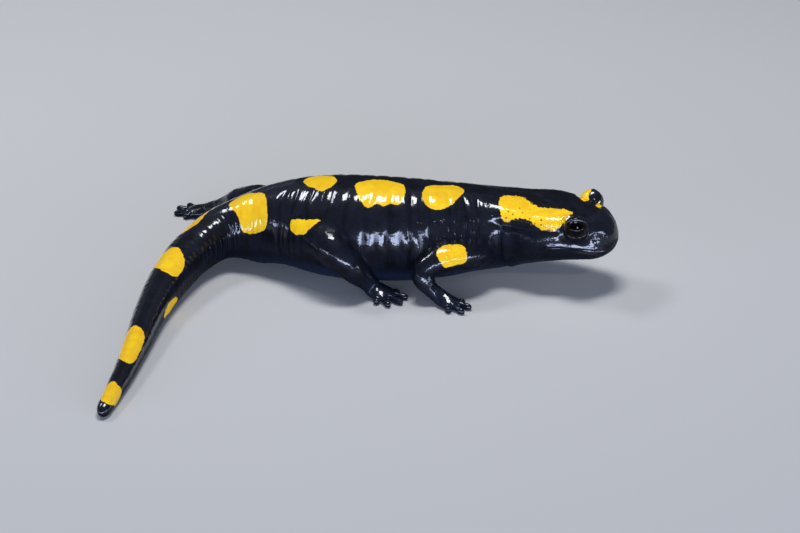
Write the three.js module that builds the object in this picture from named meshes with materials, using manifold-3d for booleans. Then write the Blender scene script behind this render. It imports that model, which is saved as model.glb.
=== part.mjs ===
// Fire salamander (Salamandra salamandra), a still, life-size model lying on a flat floor.
//
// Millimetres, +Z up. The head points to +X, the animal's right side faces -Y, and the origin
// is the middle of the flat on which the belly lies.
//
// Head, trunk and tail are one tube, whose sections are set at named stations along the body
// and parted by thin cuts. Each leg is a tapered tube that ends in a palm with its toes.

import * as THREE from 'three';
import { mergeVertices } from 'three/addons/utils/BufferGeometryUtils.js';
import Module from 'manifold-3d';

const wasm = await Module();
wasm.setup();

// ---------------------------------------------------------------- driving dimensions

const GAP = 0.3; // clear space between neighbouring pieces
const FULLNESS = 2.15; // section shape: 2 is an ellipse, more is fuller in the corners
const SNOUT_ROUND = 5.0; // length over which the snout rounds off
const TAIL_ROUND = 2.2; // length over which the tail tip rounds off

// Stations from snout to tail tip: place of the axis, half width, rise above the axis, drop
// below it, and the roll of the section to the right in degrees.
const BODY_STATIONS = {
  snout: { at: [43.5, -6.55, 10.0], half: 5.4, rise: 4.2, drop: 4.2, roll: 6 },
  nostril: { at: [40.8, -5.5, 10.5], half: 5.9, rise: 4.7, drop: 4.5, roll: 6 },
  eye: { at: [36.9, -4.1, 10.9], half: 6.8, rise: 5.1, drop: 5.4, roll: 6 },
  jaw: { at: [30.7, -1.6, 10.7], half: 8.4, rise: 5.65, drop: 6.5, roll: 5 },
  throat: { at: [23.6, 0.8, 9.3], half: 7.7, rise: 7.2, drop: 7.6, roll: 2 },
  shoulder: { at: [15.0, 1.6, 9.1], half: 9.0, rise: 8.5, drop: 8.7, roll: 0 },
  ribs: { at: [7.0, 0.3, 9.5], half: 10.0, rise: 9.4, drop: 9.9, roll: 0 },
  belly: { at: [-5.0, -0.2, 9.8], half: 10.9, rise: 10.1, drop: 10.2, roll: 0 },
  loin: { at: [-13.0, 1.6, 9.5], half: 10.3, rise: 9.9, drop: 9.8, roll: 0 },
  hip: { at: [-20.0, 4.2, 9.0], half: 8.9, rise: 8.8, drop: 8.6, roll: 0 },
  vent: { at: [-28.5, 5.8, 7.9], half: 6.3, rise: 6.7, drop: 7.1, roll: 0 },
  tail_root: { at: [-34.5, 4.9, 6.5], half: 5.1, rise: 5.3, drop: 5.4, roll: 0 },
  tail_bend: { at: [-39.6, -0.9, 5.1], half: 4.4, rise: 4.4, drop: 4.5, roll: 0 },
  tail_floor: { at: [-43.2, -9.6, 4.0], half: 3.95, rise: 3.95, drop: 4.1, roll: 0 },
  tail_middle: { at: [-45.9, -21.5, 3.1], half: 3.1, rise: 3.1, drop: 3.3, roll: 0 },
  tail_lower: { at: [-47.4, -34.0, 2.4], half: 2.5, rise: 2.5, drop: 2.6, roll: 0 },
  tail_thin: { at: [-49.0, -47.5, 1.8], half: 1.85, rise: 1.85, drop: 1.95, roll: 0 },
  tail_tip: { at: [-51.3, -61.2, 1.15], half: 1.2, rise: 1.2, drop: 1.3, roll: 0 },
};

// Swellings of the body tube: distance from the snout, angle from the top of the back to
// either side, height, and how far they spread along and around.
const SWELLINGS = [
  { name: 'parotoid gland', distance: 16.2, angle: 48, height: 0.6, along: 5, around: 14 },
  { name: 'cloaca', distance: 72.7, angle: 180, height: 0.9, along: 3.5, around: 35 },
];

// Where the body tube is parted, as distances from the snout.
const BODY_PIECES = [
  { name: 'head', from: 0, to: 21.5, rings: 14, sides: 32 },
  { name: 'neck', from: 21.5, to: 27, rings: 3, sides: 28 },
  { name: 'chest', from: 27, to: 40, rings: 4, sides: 28 },
  { name: 'belly', from: 40, to: 59, rings: 7, sides: 28 },
  { name: 'pelvis', from: 59, to: 76, rings: 6, sides: 28 },
  { name: 'tail_root', from: 76, to: 96, rings: 9, sides: 24 },
  { name: 'tail_middle', from: 96, to: 123, rings: 8, sides: 20 },
  { name: 'tail_tip', from: 123, to: 151, rings: 9, sides: 16 },
];

// Eyeballs: distance from the snout, and place beside and above the axis. The lids stand
// out from the eyeball as a ring.
const EYE = { distance: 6.85, side: 5.75, up: 3.4, radius: 2.3, lid: 0.45, sides: 14 };

// Mouth line: how far back its corners are, and how far it lies below the axis there.
const MOUTH = { corner: 12.4, tipDrop: 0.8, cornerDrop: 0.5 };

const LEG_SIDES = 12;
const LEG_STEP = 1.6; // spacing of the rings along a leg

// Each leg from inside the body to the wrist or ankle: places with the radius there, the
// distances along it of its cuts, and the direction of the foot in degrees from +X.
const LEGS = {
  right_front: {
    places: [[16.5, -1, 7, 2.8], [15.6, -7.5, 7.2, 2.7], [8.2, -11.6, 7.5, 2.4],
      [5.3, -12.9, 5.6, 2.1], [6.5, -13.9, 3.3, 1.7], [8.9, -14.8, 1.6, 1.35]],
    parts: ['upper_arm', 'forearm', 'hand'],
    cuts: [16.4, 22.0],
    foot: { heading: -38, digits: 4, palm: [2.5, 2.1, 1.2], reach: 5.6 },
  },
  left_front: {
    places: [[15.5, 4, 7, 2.8], [16.0, 9.8, 7.0, 2.7], [14.2, 15.8, 7.4, 2.4],
      [13.8, 18.2, 5.6, 2.1], [15.3, 19.4, 3.3, 1.7], [17.9, 20.4, 1.6, 1.35]],
    parts: ['upper_arm', 'forearm', 'hand'],
    cuts: [12.6, 18.2],
    foot: { heading: 28, digits: 4, palm: [2.5, 2.1, 1.2], reach: 5.6 },
  },
  right_hind: {
    places: [[-17.5, 1, 9.4, 3.6], [-14.8, -7.2, 10.6, 3.5], [-9.9, -12.3, 8.0, 2.7],
      [-6.8, -11.8, 4.5, 2.1], [-4.2, -10.6, 1.7, 1.5]],
    parts: ['thigh', 'shank', 'foot'],
    cuts: [15.4, 23.0],
    foot: { heading: -42, digits: 5, palm: [2.9, 2.5, 1.3], reach: 6.4 },
  },
  left_hind: {
    places: [[-19.5, 6, 9, 3.6], [-23.4, 13.2, 8.7, 3.3], [-30.8, 19.8, 7.2, 2.7],
      [-35.4, 23.9, 4.0, 2.0], [-39.6, 27.0, 1.7, 1.4]],
    parts: ['thigh', 'shank', 'foot'],
    cuts: [17.6, 26.4],
    foot: { heading: 152, digits: 5, palm: [2.9, 2.5, 1.3], reach: 6.4 },
  },
};

// Digits fan out from the palm: relative length of each, and the angle of the whole fan.
const DIGITS = {
  4: { lengths: [0.72, 1.0, 0.98, 0.7], fan: 84 },
  5: { lengths: [0.66, 0.92, 1.0, 0.95, 0.68], fan: 104 },
};
const DIGIT = { root: 0.85, tip: 0.55, sides: 7 };
const PALM_SIDES = 12;

const SKIN = { color: '#17181d', roughness: 0.34, metalness: 0 };
const EYE_FINISH = { color: '#0b0908', roughness: 0.08, metalness: 0 };

// ---------------------------------------------------------------- tracks of stations

const clamp = (value, low, high) => Math.min(Math.max(value, low), high);
const radians = THREE.MathUtils.degToRad;
const bell = (x) => Math.exp(-x * x);

/** Rows of numbers, each starting with x, y, z, blended smoothly along their distance. */
class Track {
  constructor(rows) {
    this.rows = rows;
    this.distances = [0];
    for (let i = 1; i < rows.length; i += 1) {
      const [a, b] = [rows[i - 1], rows[i]];
      this.distances.push(this.distances[i - 1] + Math.hypot(b[0] - a[0], b[1] - a[1], b[2] - a[2]));
    }
    this.length = this.distances.at(-1);
    this.slopes = rows.map((row, i) => row.map((_, column) => this.slopeAtRow(i, column)));
  }

  /** Mean of the slopes on both sides of a row, each weighted by the other side's length. */
  slopeAtRow(i, column) {
    const step = (j) => this.distances[j + 1] - this.distances[j];
    const rate = (j) => (this.rows[j + 1][column] - this.rows[j][column]) / step(j);
    if (i === 0) return rate(0);
    if (i === this.rows.length - 1) return rate(i - 1);
    return (rate(i - 1) * step(i) + rate(i) * step(i - 1)) / (step(i - 1) + step(i));
  }

  /** Cubic blend of the two rows beside a distance: the values there and their slopes. */
  sample(distance) {
    const d = clamp(distance, 0, this.length);
    const after = this.distances.findIndex((mark) => mark > d);
    const i = after < 0 ? this.rows.length - 2 : after - 1;
    const h = this.distances[i + 1] - this.distances[i];
    const t = (d - this.distances[i]) / h;
    const values = [];
    const slopes = [];
    for (let k = 0; k < this.rows[i].length; k += 1) {
      const [a, b, ma, mb] = [this.rows[i][k], this.rows[i + 1][k], this.slopes[i][k], this.slopes[i + 1][k]];
      values.push((1 + 2 * t) * (1 - t) ** 2 * a + t * (1 - t) ** 2 * h * ma
        + t * t * (3 - 2 * t) * b + t * t * (t - 1) * h * mb);
      slopes.push(((6 * t * t - 6 * t) * (a - b)) / h + (3 * t * t - 4 * t + 1) * ma
        + (3 * t * t - 2 * t) * mb);
    }
    return { values, slopes };
  }
}

const body = new Track(Object.values(BODY_STATIONS).map(
  ({ at, half, rise, drop, roll }) => [...at, half, rise, drop, roll],
));

// ---------------------------------------------------------------- the body tube

/** How far the section has grown towards its full size near the snout and the tail tip. */
function rounding(distance) {
  const nose = clamp(distance / SNOUT_ROUND, 0, 1);
  const tail = clamp((body.length - distance) / TAIL_ROUND, 0, 1);
  return Math.sqrt(1 - (1 - nose) ** 2) * Math.sqrt(1 - (1 - tail) ** 2);
}

function swelling(distance, angle) {
  const fromTop = Math.abs(THREE.MathUtils.euclideanModulo(angle + 180, 360) - 180);
  let height = 0;
  for (const s of SWELLINGS) {
    height += s.height * bell((distance - s.distance) / s.along) * bell((fromTop - s.angle) / s.around);
  }
  return height;
}

/** Point in the section at a distance: side is to the right of the axis, up is above it. */
function bodyPoint(distance, side, up) {
  const { values: [x, y, z, , , , roll], slopes: [dx, dy] } = body.sample(distance);
  const level = Math.hypot(dx, dy);
  const lean = radians(roll);
  const across = side * Math.cos(lean) + up * Math.sin(lean);
  const above = -side * Math.sin(lean) + up * Math.cos(lean);
  return new THREE.Vector3(x - (dy / level) * across, y + (dx / level) * across, z + above);
}

/** Closed section of the body tube, from the top of the back round over the right side. */
function bodyRing(distance, sides, grow = 0) {
  const { values: [, , , half, rise, drop] } = body.sample(distance);
  const size = rounding(distance);
  const ring = [];
  for (let i = 0; i < sides; i += 1) {
    const angle = (360 * i) / sides;
    const [sine, cosine] = [Math.sin(radians(angle)), Math.cos(radians(angle))];
    const height = cosine > 0 ? rise : drop;
    const extra = swelling(distance, angle) + grow;
    const side = half * size * Math.sign(sine) * Math.abs(sine) ** (2 / FULLNESS) + extra * sine;
    const up = height * size * Math.sign(cosine) * Math.abs(cosine) ** (2 / FULLNESS) + extra * cosine;
    const point = bodyPoint(distance, side, up);
    point.z = Math.max(point.z, -grow);
    ring.push(point);
  }
  return ring;
}

/** Distances of a piece's rings, drawn together where the snout or tail tip rounds off. */
function ringDistances({ from, to, rings }) {
  const first = from === 0 ? 0 : from + GAP / 2;
  const last = to >= body.length ? body.length : to - GAP / 2;
  const distances = [];
  for (let i = 0; i <= rings; i += 1) {
    const t = i / rings;
    const eased = from === 0 ? t ** 1.7 : t;
    distances.push(first + (last - first) * (last === body.length ? 1 - (1 - eased) ** 1.4 : eased));
  }
  return distances;
}

// ---------------------------------------------------------------- meshes and solids

/** Closed skin over a run of rings, with a fan from a middle point over each end. */
function loft(rings, start, end) {
  const sides = rings[0].length;
  const positions = [...rings.flat(), start, end].flatMap((p) => [p.x, p.y, p.z]);
  const startIndex = rings.length * sides;
  const endIndex = startIndex + 1;
  const index = [];
  for (let j = 0; j < sides; j += 1) {
    const next = (j + 1) % sides;
    const last = (rings.length - 1) * sides;
    index.push(startIndex, j, next);
    index.push(endIndex, last + next, last + j);
    for (let i = 0; i < rings.length - 1; i += 1) {
      const [a, b, c, d] = [i * sides + j, i * sides + next, (i + 1) * sides + j, (i + 1) * sides + next];
      index.push(a, c, b);
      index.push(b, c, d);
    }
  }
  const geometry = new THREE.BufferGeometry();
  geometry.setAttribute('position', new THREE.Float32BufferAttribute(positions, 3));
  geometry.setIndex(index);
  return geometry;
}

const middle = (ring) => ring.reduce((sum, p) => sum.add(p), new THREE.Vector3()).divideScalar(ring.length);

/** Length of the body tube; grow thickens it all round. */
function bodyTube(piece, grow = 0) {
  const distances = ringDistances(piece);
  const tipAtStart = distances[0] === 0;
  const tipAtEnd = distances.at(-1) === body.length;
  const inner = distances.slice(tipAtStart ? 1 : 0, tipAtEnd ? -1 : undefined);
  const rings = inner.map((distance) => bodyRing(distance, piece.sides, grow));
  const start = tipAtStart ? bodyPoint(0, 0, 0) : middle(rings[0]);
  const end = tipAtEnd ? bodyPoint(body.length, 0, 0) : middle(rings.at(-1));
  return loft(rings, start, end);
}

function toSolid(geometry) {
  const bare = geometry.clone();
  bare.deleteAttribute('normal');
  bare.deleteAttribute('uv');
  const merged = mergeVertices(bare, 1e-4);
  return new wasm.Manifold(new wasm.Mesh({
    numProp: 3,
    vertProperties: new Float32Array(merged.attributes.position.array),
    triVerts: new Uint32Array(merged.index.array),
  }));
}

function toGeometry(solid) {
  const { vertProperties, triVerts } = solid.getMesh();
  const geometry = new THREE.BufferGeometry();
  geometry.setAttribute('position', new THREE.BufferAttribute(vertProperties, 3));
  geometry.setIndex(new THREE.BufferAttribute(triVerts, 1));
  return geometry;
}

function eyeSphere(center, radius) {
  return new THREE.SphereGeometry(radius, EYE.sides, Math.round(EYE.sides * 0.7)).translate(...center);
}

// ---------------------------------------------------------------- head, jaw and eyes

const eyeCenters = {
  right: bodyPoint(EYE.distance, EYE.side, EYE.up),
  left: bodyPoint(EYE.distance, -EYE.side, EYE.up),
};

/** Block under the mouth line and ahead of its corners, lowered or raised by an offset. */
function mouthBlock(offset) {
  const tip = bodyPoint(0, 0, -MOUTH.tipDrop);
  const corner = bodyPoint(MOUTH.corner, 0, -MOUTH.cornerDrop);
  const size = 40;
  const block = new THREE.BoxGeometry(size, size, size);
  block.translate(size / 2 - offset, 0, -size / 2 + offset);
  const level = Math.hypot(tip.x - corner.x, tip.y - corner.y);
  block.rotateX(radians(BODY_STATIONS.eye.roll));
  block.rotateY(Math.atan2(corner.z - tip.z, level));
  block.rotateZ(Math.atan2(tip.y - corner.y, tip.x - corner.x));
  return block.translate(...corner);
}

/** Head without the lower jaw, with raised lids round the eye sockets. */
function headGeometry(piece) {
  let solid = toSolid(bodyTube(piece));
  const axis = bodyPoint(EYE.distance, 0, EYE.up);
  for (const center of Object.values(eyeCenters)) {
    const lid = center.clone().lerp(axis, (1.5 * EYE.lid) / EYE.side);
    solid = solid.add(toSolid(eyeSphere(lid, EYE.radius + EYE.lid)));
  }
  for (const center of Object.values(eyeCenters)) {
    solid = solid.subtract(toSolid(eyeSphere(center, EYE.radius + GAP)));
  }
  return toGeometry(solid.subtract(toSolid(mouthBlock(GAP / 2))));
}

function jawGeometry(piece) {
  return toGeometry(toSolid(bodyTube(piece)).intersect(toSolid(mouthBlock(-GAP / 2))));
}

// ---------------------------------------------------------------- legs

/** Direction square to the plane in which a leg bends. */
function bendAxis(track) {
  const [hip, knee, ankle] = [track.rows[1], track.rows.at(-3), track.rows.at(-1)].map(
    ([x, y, z]) => new THREE.Vector3(x, y, z),
  );
  return knee.sub(hip).cross(ankle.sub(hip)).normalize();
}

/** Round section of a limb at a distance along its track, square to the track. */
function limbRing(track, axis, distance, sides, size = 1, grow = 0) {
  const { values: [x, y, z, radius], slopes: [dx, dy, dz] } = track.sample(distance);
  const along = new THREE.Vector3(dx, dy, dz).normalize();
  const across = axis.clone().addScaledVector(along, -axis.dot(along)).normalize();
  const third = new THREE.Vector3().crossVectors(along, across);
  const ring = [];
  for (let i = 0; i < sides; i += 1) {
    const angle = (2 * Math.PI * i) / sides;
    const point = new THREE.Vector3(x, y, z)
      .addScaledVector(across, (radius * size + grow) * Math.cos(angle))
      .addScaledVector(third, (radius * size + grow) * Math.sin(angle));
    point.z = Math.max(point.z, -grow);
    ring.push(point);
  }
  return ring;
}

function limbTube(track, axis, from, to, grow = 0) {
  const count = Math.max(2, Math.round((to - from) / LEG_STEP));
  const rings = [];
  for (let i = 0; i <= count; i += 1) {
    rings.push(limbRing(track, axis, from + ((to - from) * i) / count, LEG_SIDES, 1, grow).reverse());
  }
  return loft(rings, middle(rings[0]), middle(rings.at(-1)));
}

/** One digit: it leaves the palm at a height, lies down on the floor and ends round. */
function digitGeometry(base, heading, length) {
  const direction = new THREE.Vector3(Math.cos(heading), Math.sin(heading), 0);
  const place = (along, height, radius) => {
    const p = base.clone().addScaledVector(direction, along);
    return [p.x, p.y, height, radius];
  };
  const track = new Track([
    place(0.6, 1.0, DIGIT.root),
    place(length * 0.6, 0.75, (DIGIT.root + DIGIT.tip) / 2),
    place(length, 0.5, DIGIT.tip),
  ]);
  const axis = new THREE.Vector3(-direction.y, direction.x, 0);
  const rings = [];
  for (const t of [0, 0.45, 0.8, 0.94]) {
    const round = Math.sqrt(1 - clamp((t - 0.8) / 0.2, 0, 1) ** 2);
    rings.push(limbRing(track, axis, track.length * t, DIGIT.sides, round).reverse());
  }
  const end = track.sample(track.length).values;
  return loft(rings, middle(rings[0]), new THREE.Vector3(end[0], end[1], end[2]));
}

/** Palm or sole with its digits, joined to the last length of the leg. */
function footSolid(track, axis, from, foot) {
  const wrist = track.rows.at(-1);
  const heading = radians(foot.heading);
  const [length, width, height] = foot.palm;
  const palm = new THREE.SphereGeometry(1, PALM_SIDES, 8).scale(length, width, height);
  palm.rotateZ(heading);
  const center = new THREE.Vector3(wrist[0], wrist[1], 0)
    .addScaledVector(new THREE.Vector3(Math.cos(heading), Math.sin(heading), 0), length * 0.45);
  palm.translate(center.x, center.y, height * 0.8);
  let solid = toSolid(limbTube(track, axis, from, track.length)).add(toSolid(palm));
  const { lengths, fan } = DIGITS[foot.digits];
  lengths.forEach((relative, i) => {
    const turn = radians(fan * (i / (foot.digits - 1) - 0.5));
    solid = solid.add(toSolid(digitGeometry(center, heading + turn, foot.reach * relative)));
  });
  const below = new THREE.BoxGeometry(60, 60, 10).translate(center.x, center.y, -5);
  return solid.subtract(toSolid(below));
}

/** The three solids of a leg, each clear of the body and of the next. */
function legSolids({ places, cuts, foot }, bodySolid) {
  const track = new Track(places);
  const axis = bendAxis(track);
  const [joint, ankle] = cuts;
  const upper = toSolid(limbTube(track, axis, 0, joint));
  const lower = toSolid(limbTube(track, axis, joint - GAP, ankle));
  const end = footSolid(track, axis, ankle - GAP, foot);
  const aboveJoint = toSolid(limbTube(track, axis, 0, joint + GAP, GAP));
  const aboveAnkle = toSolid(limbTube(track, axis, joint + GAP, ankle + GAP, GAP));
  return [upper, lower.subtract(aboveJoint), end.subtract(aboveAnkle)].map(
    (solid) => solid.subtract(bodySolid),
  );
}

// ---------------------------------------------------------------- the salamander

const group = new THREE.Group();

function addPiece(name, geometry, finish = SKIN) {
  const mesh = new THREE.Mesh(geometry, new THREE.MeshStandardMaterial(finish));
  mesh.name = name;
  group.add(mesh);
}

for (const piece of BODY_PIECES) {
  if (piece.name === 'head') {
    addPiece('head', headGeometry(piece));
    addPiece('lower_jaw', jawGeometry(piece));
  } else {
    addPiece(piece.name, bodyTube(piece));
  }
}

for (const [side, center] of Object.entries(eyeCenters)) {
  addPiece(`${side}_eye`, eyeSphere(center, EYE.radius), EYE_FINISH);
}

const trunk = toSolid(bodyTube({ from: 22, to: 90, rings: 24, sides: 28 }, GAP));
for (const [leg, shape] of Object.entries(LEGS)) {
  legSolids(shape, trunk).forEach((solid, i) => addPiece(`${leg}_${shape.parts[i]}`, toGeometry(solid)));
}

export default group;
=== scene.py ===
"""Fire salamander (Salamandra salamandra): the looks of a still, life-size animal.

One closed skin stands for head, trunk, tail and legs, and each eyeball is a piece of its own.
Shapes are worked out in millimetres in the frame of the CAD model, and become metres as they
go into a mesh. The head points to +X and the animal's right side faces -Y.
"""

import sys

import itertools
import logging
import math
from collections.abc import Callable, Sequence
from dataclasses import dataclass, field
from enum import Enum
from functools import cached_property, partial

import bmesh
import bpy
import numpy as np
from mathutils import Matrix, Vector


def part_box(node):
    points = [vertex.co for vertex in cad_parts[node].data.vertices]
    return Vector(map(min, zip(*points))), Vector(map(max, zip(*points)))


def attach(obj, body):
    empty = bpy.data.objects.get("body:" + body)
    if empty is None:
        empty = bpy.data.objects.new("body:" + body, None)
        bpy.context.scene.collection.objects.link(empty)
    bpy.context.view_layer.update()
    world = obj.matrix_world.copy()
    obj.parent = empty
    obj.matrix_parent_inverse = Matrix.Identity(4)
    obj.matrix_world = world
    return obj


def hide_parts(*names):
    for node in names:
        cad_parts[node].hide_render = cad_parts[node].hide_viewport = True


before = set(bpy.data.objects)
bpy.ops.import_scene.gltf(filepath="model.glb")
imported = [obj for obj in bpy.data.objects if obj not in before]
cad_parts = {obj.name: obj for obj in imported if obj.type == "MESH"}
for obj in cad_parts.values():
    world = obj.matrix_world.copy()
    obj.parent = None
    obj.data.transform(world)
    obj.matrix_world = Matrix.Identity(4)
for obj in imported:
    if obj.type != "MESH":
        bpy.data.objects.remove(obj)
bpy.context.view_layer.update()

Array = np.ndarray
Two = tuple[float, float]
Three = tuple[float, float, float]
Four = tuple[float, float, float, float]
log = logging.getLogger("salamander")

MM = 0.001
WELD = 0.002  # millimetres within which the union's points are the same point


# ------------------------------------------------------------------ choices


class Side(Enum):
    """A side of the animal, with the sign of its angles round the body."""

    RIGHT = 1
    LEFT = -1


class Ground(Enum):
    """Which surface a marking is laid out on."""

    BODY = "body"
    RIGHT_ARM = "right_front"
    LEFT_ARM = "left_front"
    LEFT_THIGH = "left_hind"


# ------------------------------------------------------------------ shapes of numbers


def smooth(values: Array, low: float, high: float) -> Array:
    """Rises from 0 at low to 1 at high and is level at both ends: 3t squared less 2t cubed."""
    t = np.clip((values - low) / (high - low), 0.0, 1.0)
    return t * t * (3.0 - 2.0 * t)


def fall(values: Array, low: float, high: float) -> Array:
    """Falls from 1 at low to 0 at high, in the same curve."""
    return 1.0 - smooth(values, low, high)


def bell(values: Array, middle: float | Array = 0.0, width: float | Array = 1.0) -> Array:
    """A rounded bump of height 1: e to the power of minus the square of the way in widths."""
    return np.exp(-np.square((values - middle) / width))


@dataclass(frozen=True)
class Bump:
    """A rounded rise on the skin, or a hollow where its height is negative.

    Across may be in degrees round the body or in millimetres above the mouth line, and along
    is in millimetres from the snout. Both directions have a middle and a half width.
    """

    height: float
    across: float
    wide: float
    along: float
    long: float

    def on(self, across: Array, along: Array) -> Array:
        """Its height at each point: a bell across times a bell along."""
        return self.height * bell(across, self.across, self.wide) * bell(along, self.along, self.long)


def turned_lattice(across: float, along: float) -> Array:
    """Rotation by one angle about Z and then by another about X, in degrees.

    Args:
        across: Angle about Z.
        along: Angle about X.

    Returns:
        The matrix.
    """
    a, b = math.radians(across), math.radians(along)
    about_z = [(math.cos(a), -math.sin(a), 0.0), (math.sin(a), math.cos(a), 0.0), (0.0, 0.0, 1.0)]
    about_x = [(1.0, 0.0, 0.0), (0.0, math.cos(b), -math.sin(b)), (0.0, math.sin(b), math.cos(b))]
    return np.array(about_z) @ np.array(about_x)


LATTICES = (turned_lattice(31.0, 57.0), turned_lattice(-22.0, -38.0))

# Large odd numbers and shifts that scramble the bits of a lattice corner.
AXIS_PRIMES = np.array([73856093, 19349663, 83492791])
SEED_PRIME = 2654435761
SCRAMBLES = ((15, 2246822519), (13, 3266489917))
FINAL_SHIFT = 16
LOW_BITS = 0xFFFFFFFF
LATTICE_HEIGHT = 0.8  # share of each lattice's heights, so that two added stay near -1 to 1

SEARCH_ROUNDS = 8  # rounds that settle the place on a path nearest to a point


def grain(points: Array, size: float, seed: int) -> Array:
    """Smooth random heights from about -1 to 1, alike over about one size.

    Each corner of a cubic lattice has a random height, and a point blends its eight corners.
    Two lattices, turned apart, are added, so that no direction stands out.

    Args:
        points: Places, in millimetres.
        size: Spacing of the lattice, in millimetres.
        seed: Picks one pattern out of many.

    Returns:
        One height for each point.
    """
    total = np.zeros(len(points))
    for number, lattice in enumerate(LATTICES):
        cells = points @ lattice / size
        base = np.floor(cells).astype(np.int64)
        part = cells - base
        part = part * part * (3.0 - 2.0 * part)
        salt = (2 * seed + number) * SEED_PRIME
        for corner in itertools.product((0, 1), repeat=3):
            key = (base + np.array(corner)) * AXIS_PRIMES
            mixed = (key[:, 0] ^ key[:, 1] ^ key[:, 2] ^ salt) & LOW_BITS
            for shift, prime in SCRAMBLES:
                mixed = ((mixed ^ (mixed >> shift)) * prime) & LOW_BITS
            height = (mixed ^ (mixed >> FINAL_SHIFT)) / LOW_BITS * 2.0 - 1.0
            total += height * np.prod(np.where(np.array(corner) == 1, part, 1.0 - part), axis=1)
    return total * LATTICE_HEIGHT


class Track:
    """Rows of numbers along a path, each starting with x, y, z, blended smoothly by distance."""

    def __init__(self, rows: Sequence[Sequence[float]]) -> None:
        """Measures the path and finds each row's slopes.

        Inside the path, a row's slope is the mean of those on both sides, each weighted by the
        other side's length.

        Args:
            rows: Numbers at each station, the first three of them its place.
        """
        self.rows = np.array(rows, dtype=float)
        steps = np.linalg.norm(np.diff(self.rows[:, :3], axis=0), axis=1)
        self.marks = np.concatenate([[0.0], np.cumsum(steps)])
        self.length = float(self.marks[-1])
        rates = np.diff(self.rows, axis=0) / steps[:, None]
        weighted = rates[:-1] * steps[1:, None] + rates[1:] * steps[:-1, None]
        inner = weighted / (steps[:-1] + steps[1:])[:, None]
        self.slopes = np.vstack([rates[:1], inner, rates[-1:]])

    def sample(self, distance: Array) -> tuple[Array, Array]:
        """Cubic blend of the two rows beside each distance.

        Args:
            distance: Distances along the path, in an array of any shape.

        Returns:
            The row's numbers at each distance, and their slopes.
        """
        d = np.clip(np.asarray(distance, dtype=float), 0.0, self.length)
        i = np.clip(np.searchsorted(self.marks, d, side="right") - 1, 0, len(self.rows) - 2)
        h = (self.marks[i + 1] - self.marks[i])[..., None]
        t = (d - self.marks[i])[..., None] / h
        a, b = self.rows[i], self.rows[i + 1]
        slope_a, slope_b = self.slopes[i], self.slopes[i + 1]
        values = (1 + 2 * t) * (1 - t) ** 2 * a + t * (1 - t) ** 2 * h * slope_a
        values += t * t * (3 - 2 * t) * b + t * t * (t - 1) * h * slope_b
        slopes = (6 * t * t - 6 * t) * (a - b) / h
        slopes += (3 * t * t - 4 * t + 1) * slope_a + (3 * t * t - 2 * t) * slope_b
        return values, slopes

    def nearest(self, points: Array, axes: int) -> Array:
        """Distance along the path of the place nearest to each point.

        The nearest of some evenly spaced places is moved a few times along the path by the
        part of what is left that lies along it.

        Args:
            points: Places, in millimetres.
            axes: 2 to measure in plan only, or 3.

        Returns:
            One distance for each point.
        """
        marks = np.linspace(0.0, self.length, max(8, round(self.length)))
        places = self.sample(marks)[0][:, :axes]
        gaps = np.sum(places**2, axis=1)[None, :] - 2.0 * points[:, :axes] @ places.T
        distance = marks[np.argmin(gaps, axis=1)]
        for _ in range(SEARCH_ROUNDS):
            values, slopes = self.sample(distance)
            along = slopes[:, :axes]
            left = np.sum((points[:, :axes] - values[:, :axes]) * along, axis=1)
            distance = np.clip(distance + left / np.sum(along**2, axis=1), 0.0, self.length)
        return distance


# ------------------------------------------------------------------ shells of triangles


def grid_faces(start: int, rings: int, sides: int) -> Array:
    """Triangles between neighbouring closed rings of points, two for each cell.

    Args:
        start: Number of the first ring's first point.
        rings: Count of rings.
        sides: Points in each ring.

    Returns:
        Rows of three points' numbers.
    """
    ring = np.arange(rings - 1)[:, None] * sides + start
    here = np.arange(sides)[None, :]
    a, b = ring + here, ring + (here + 1) % sides
    c, d = a + sides, b + sides
    return np.stack([a, c, b, b, c, d], axis=-1).reshape(-1, 3)


def halving_faces(wide: int, narrow: int, sides: int) -> Array:
    """Triangles from a ring of 2n points to the next one of n points, three for each pair.

    Args:
        wide: Number of the wide ring's first point.
        narrow: Number of the narrow ring's first point.
        sides: Points in the narrow ring.

    Returns:
        Rows of three points' numbers.
    """
    here = np.arange(sides)
    a, b = narrow + here, narrow + (here + 1) % sides
    c, d, e = wide + 2 * here, wide + 2 * here + 1, wide + (2 * here + 2) % (2 * sides)
    return np.stack([c, a, d, d, a, b, d, b, e], axis=-1).reshape(-1, 3)


def fan_faces(tip: int, ring: int, sides: int) -> Array:
    """Triangles from one point to a closed ring of points."""
    here = np.arange(sides)
    return np.stack([np.full(sides, tip), ring + here, ring + (here + 1) % sides], axis=-1)


def outward(points: Array, faces: Array) -> Array:
    """The same triangles, turned round together if the volume they enclose is negative."""
    a, b, c = (points[faces[:, k]] for k in range(3))
    return faces if np.sum(a * np.cross(b, c)) > 0 else faces[:, ::-1]


def closed_tube(rings: Array, start: Array, end: Array) -> tuple[Array, Array]:
    """Closed shell over rings of equal count, with a fan from a point over each end.

    Args:
        rings: Places in an array of rings, sides and coordinates.
        start: Place of the point before the first ring.
        end: Place of the point after the last ring.

    Returns:
        The shell's points and its triangles, facing outwards.
    """
    count, sides = rings.shape[:2]
    points = np.vstack([rings.reshape(-1, 3), start, end])
    last = (count - 1) * sides
    faces = np.vstack(
        [
            grid_faces(0, count, sides),
            fan_faces(count * sides, 0, sides),
            fan_faces(count * sides + 1, last, sides)[:, ::-1],
        ]
    )
    return points, outward(points, faces)


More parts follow.
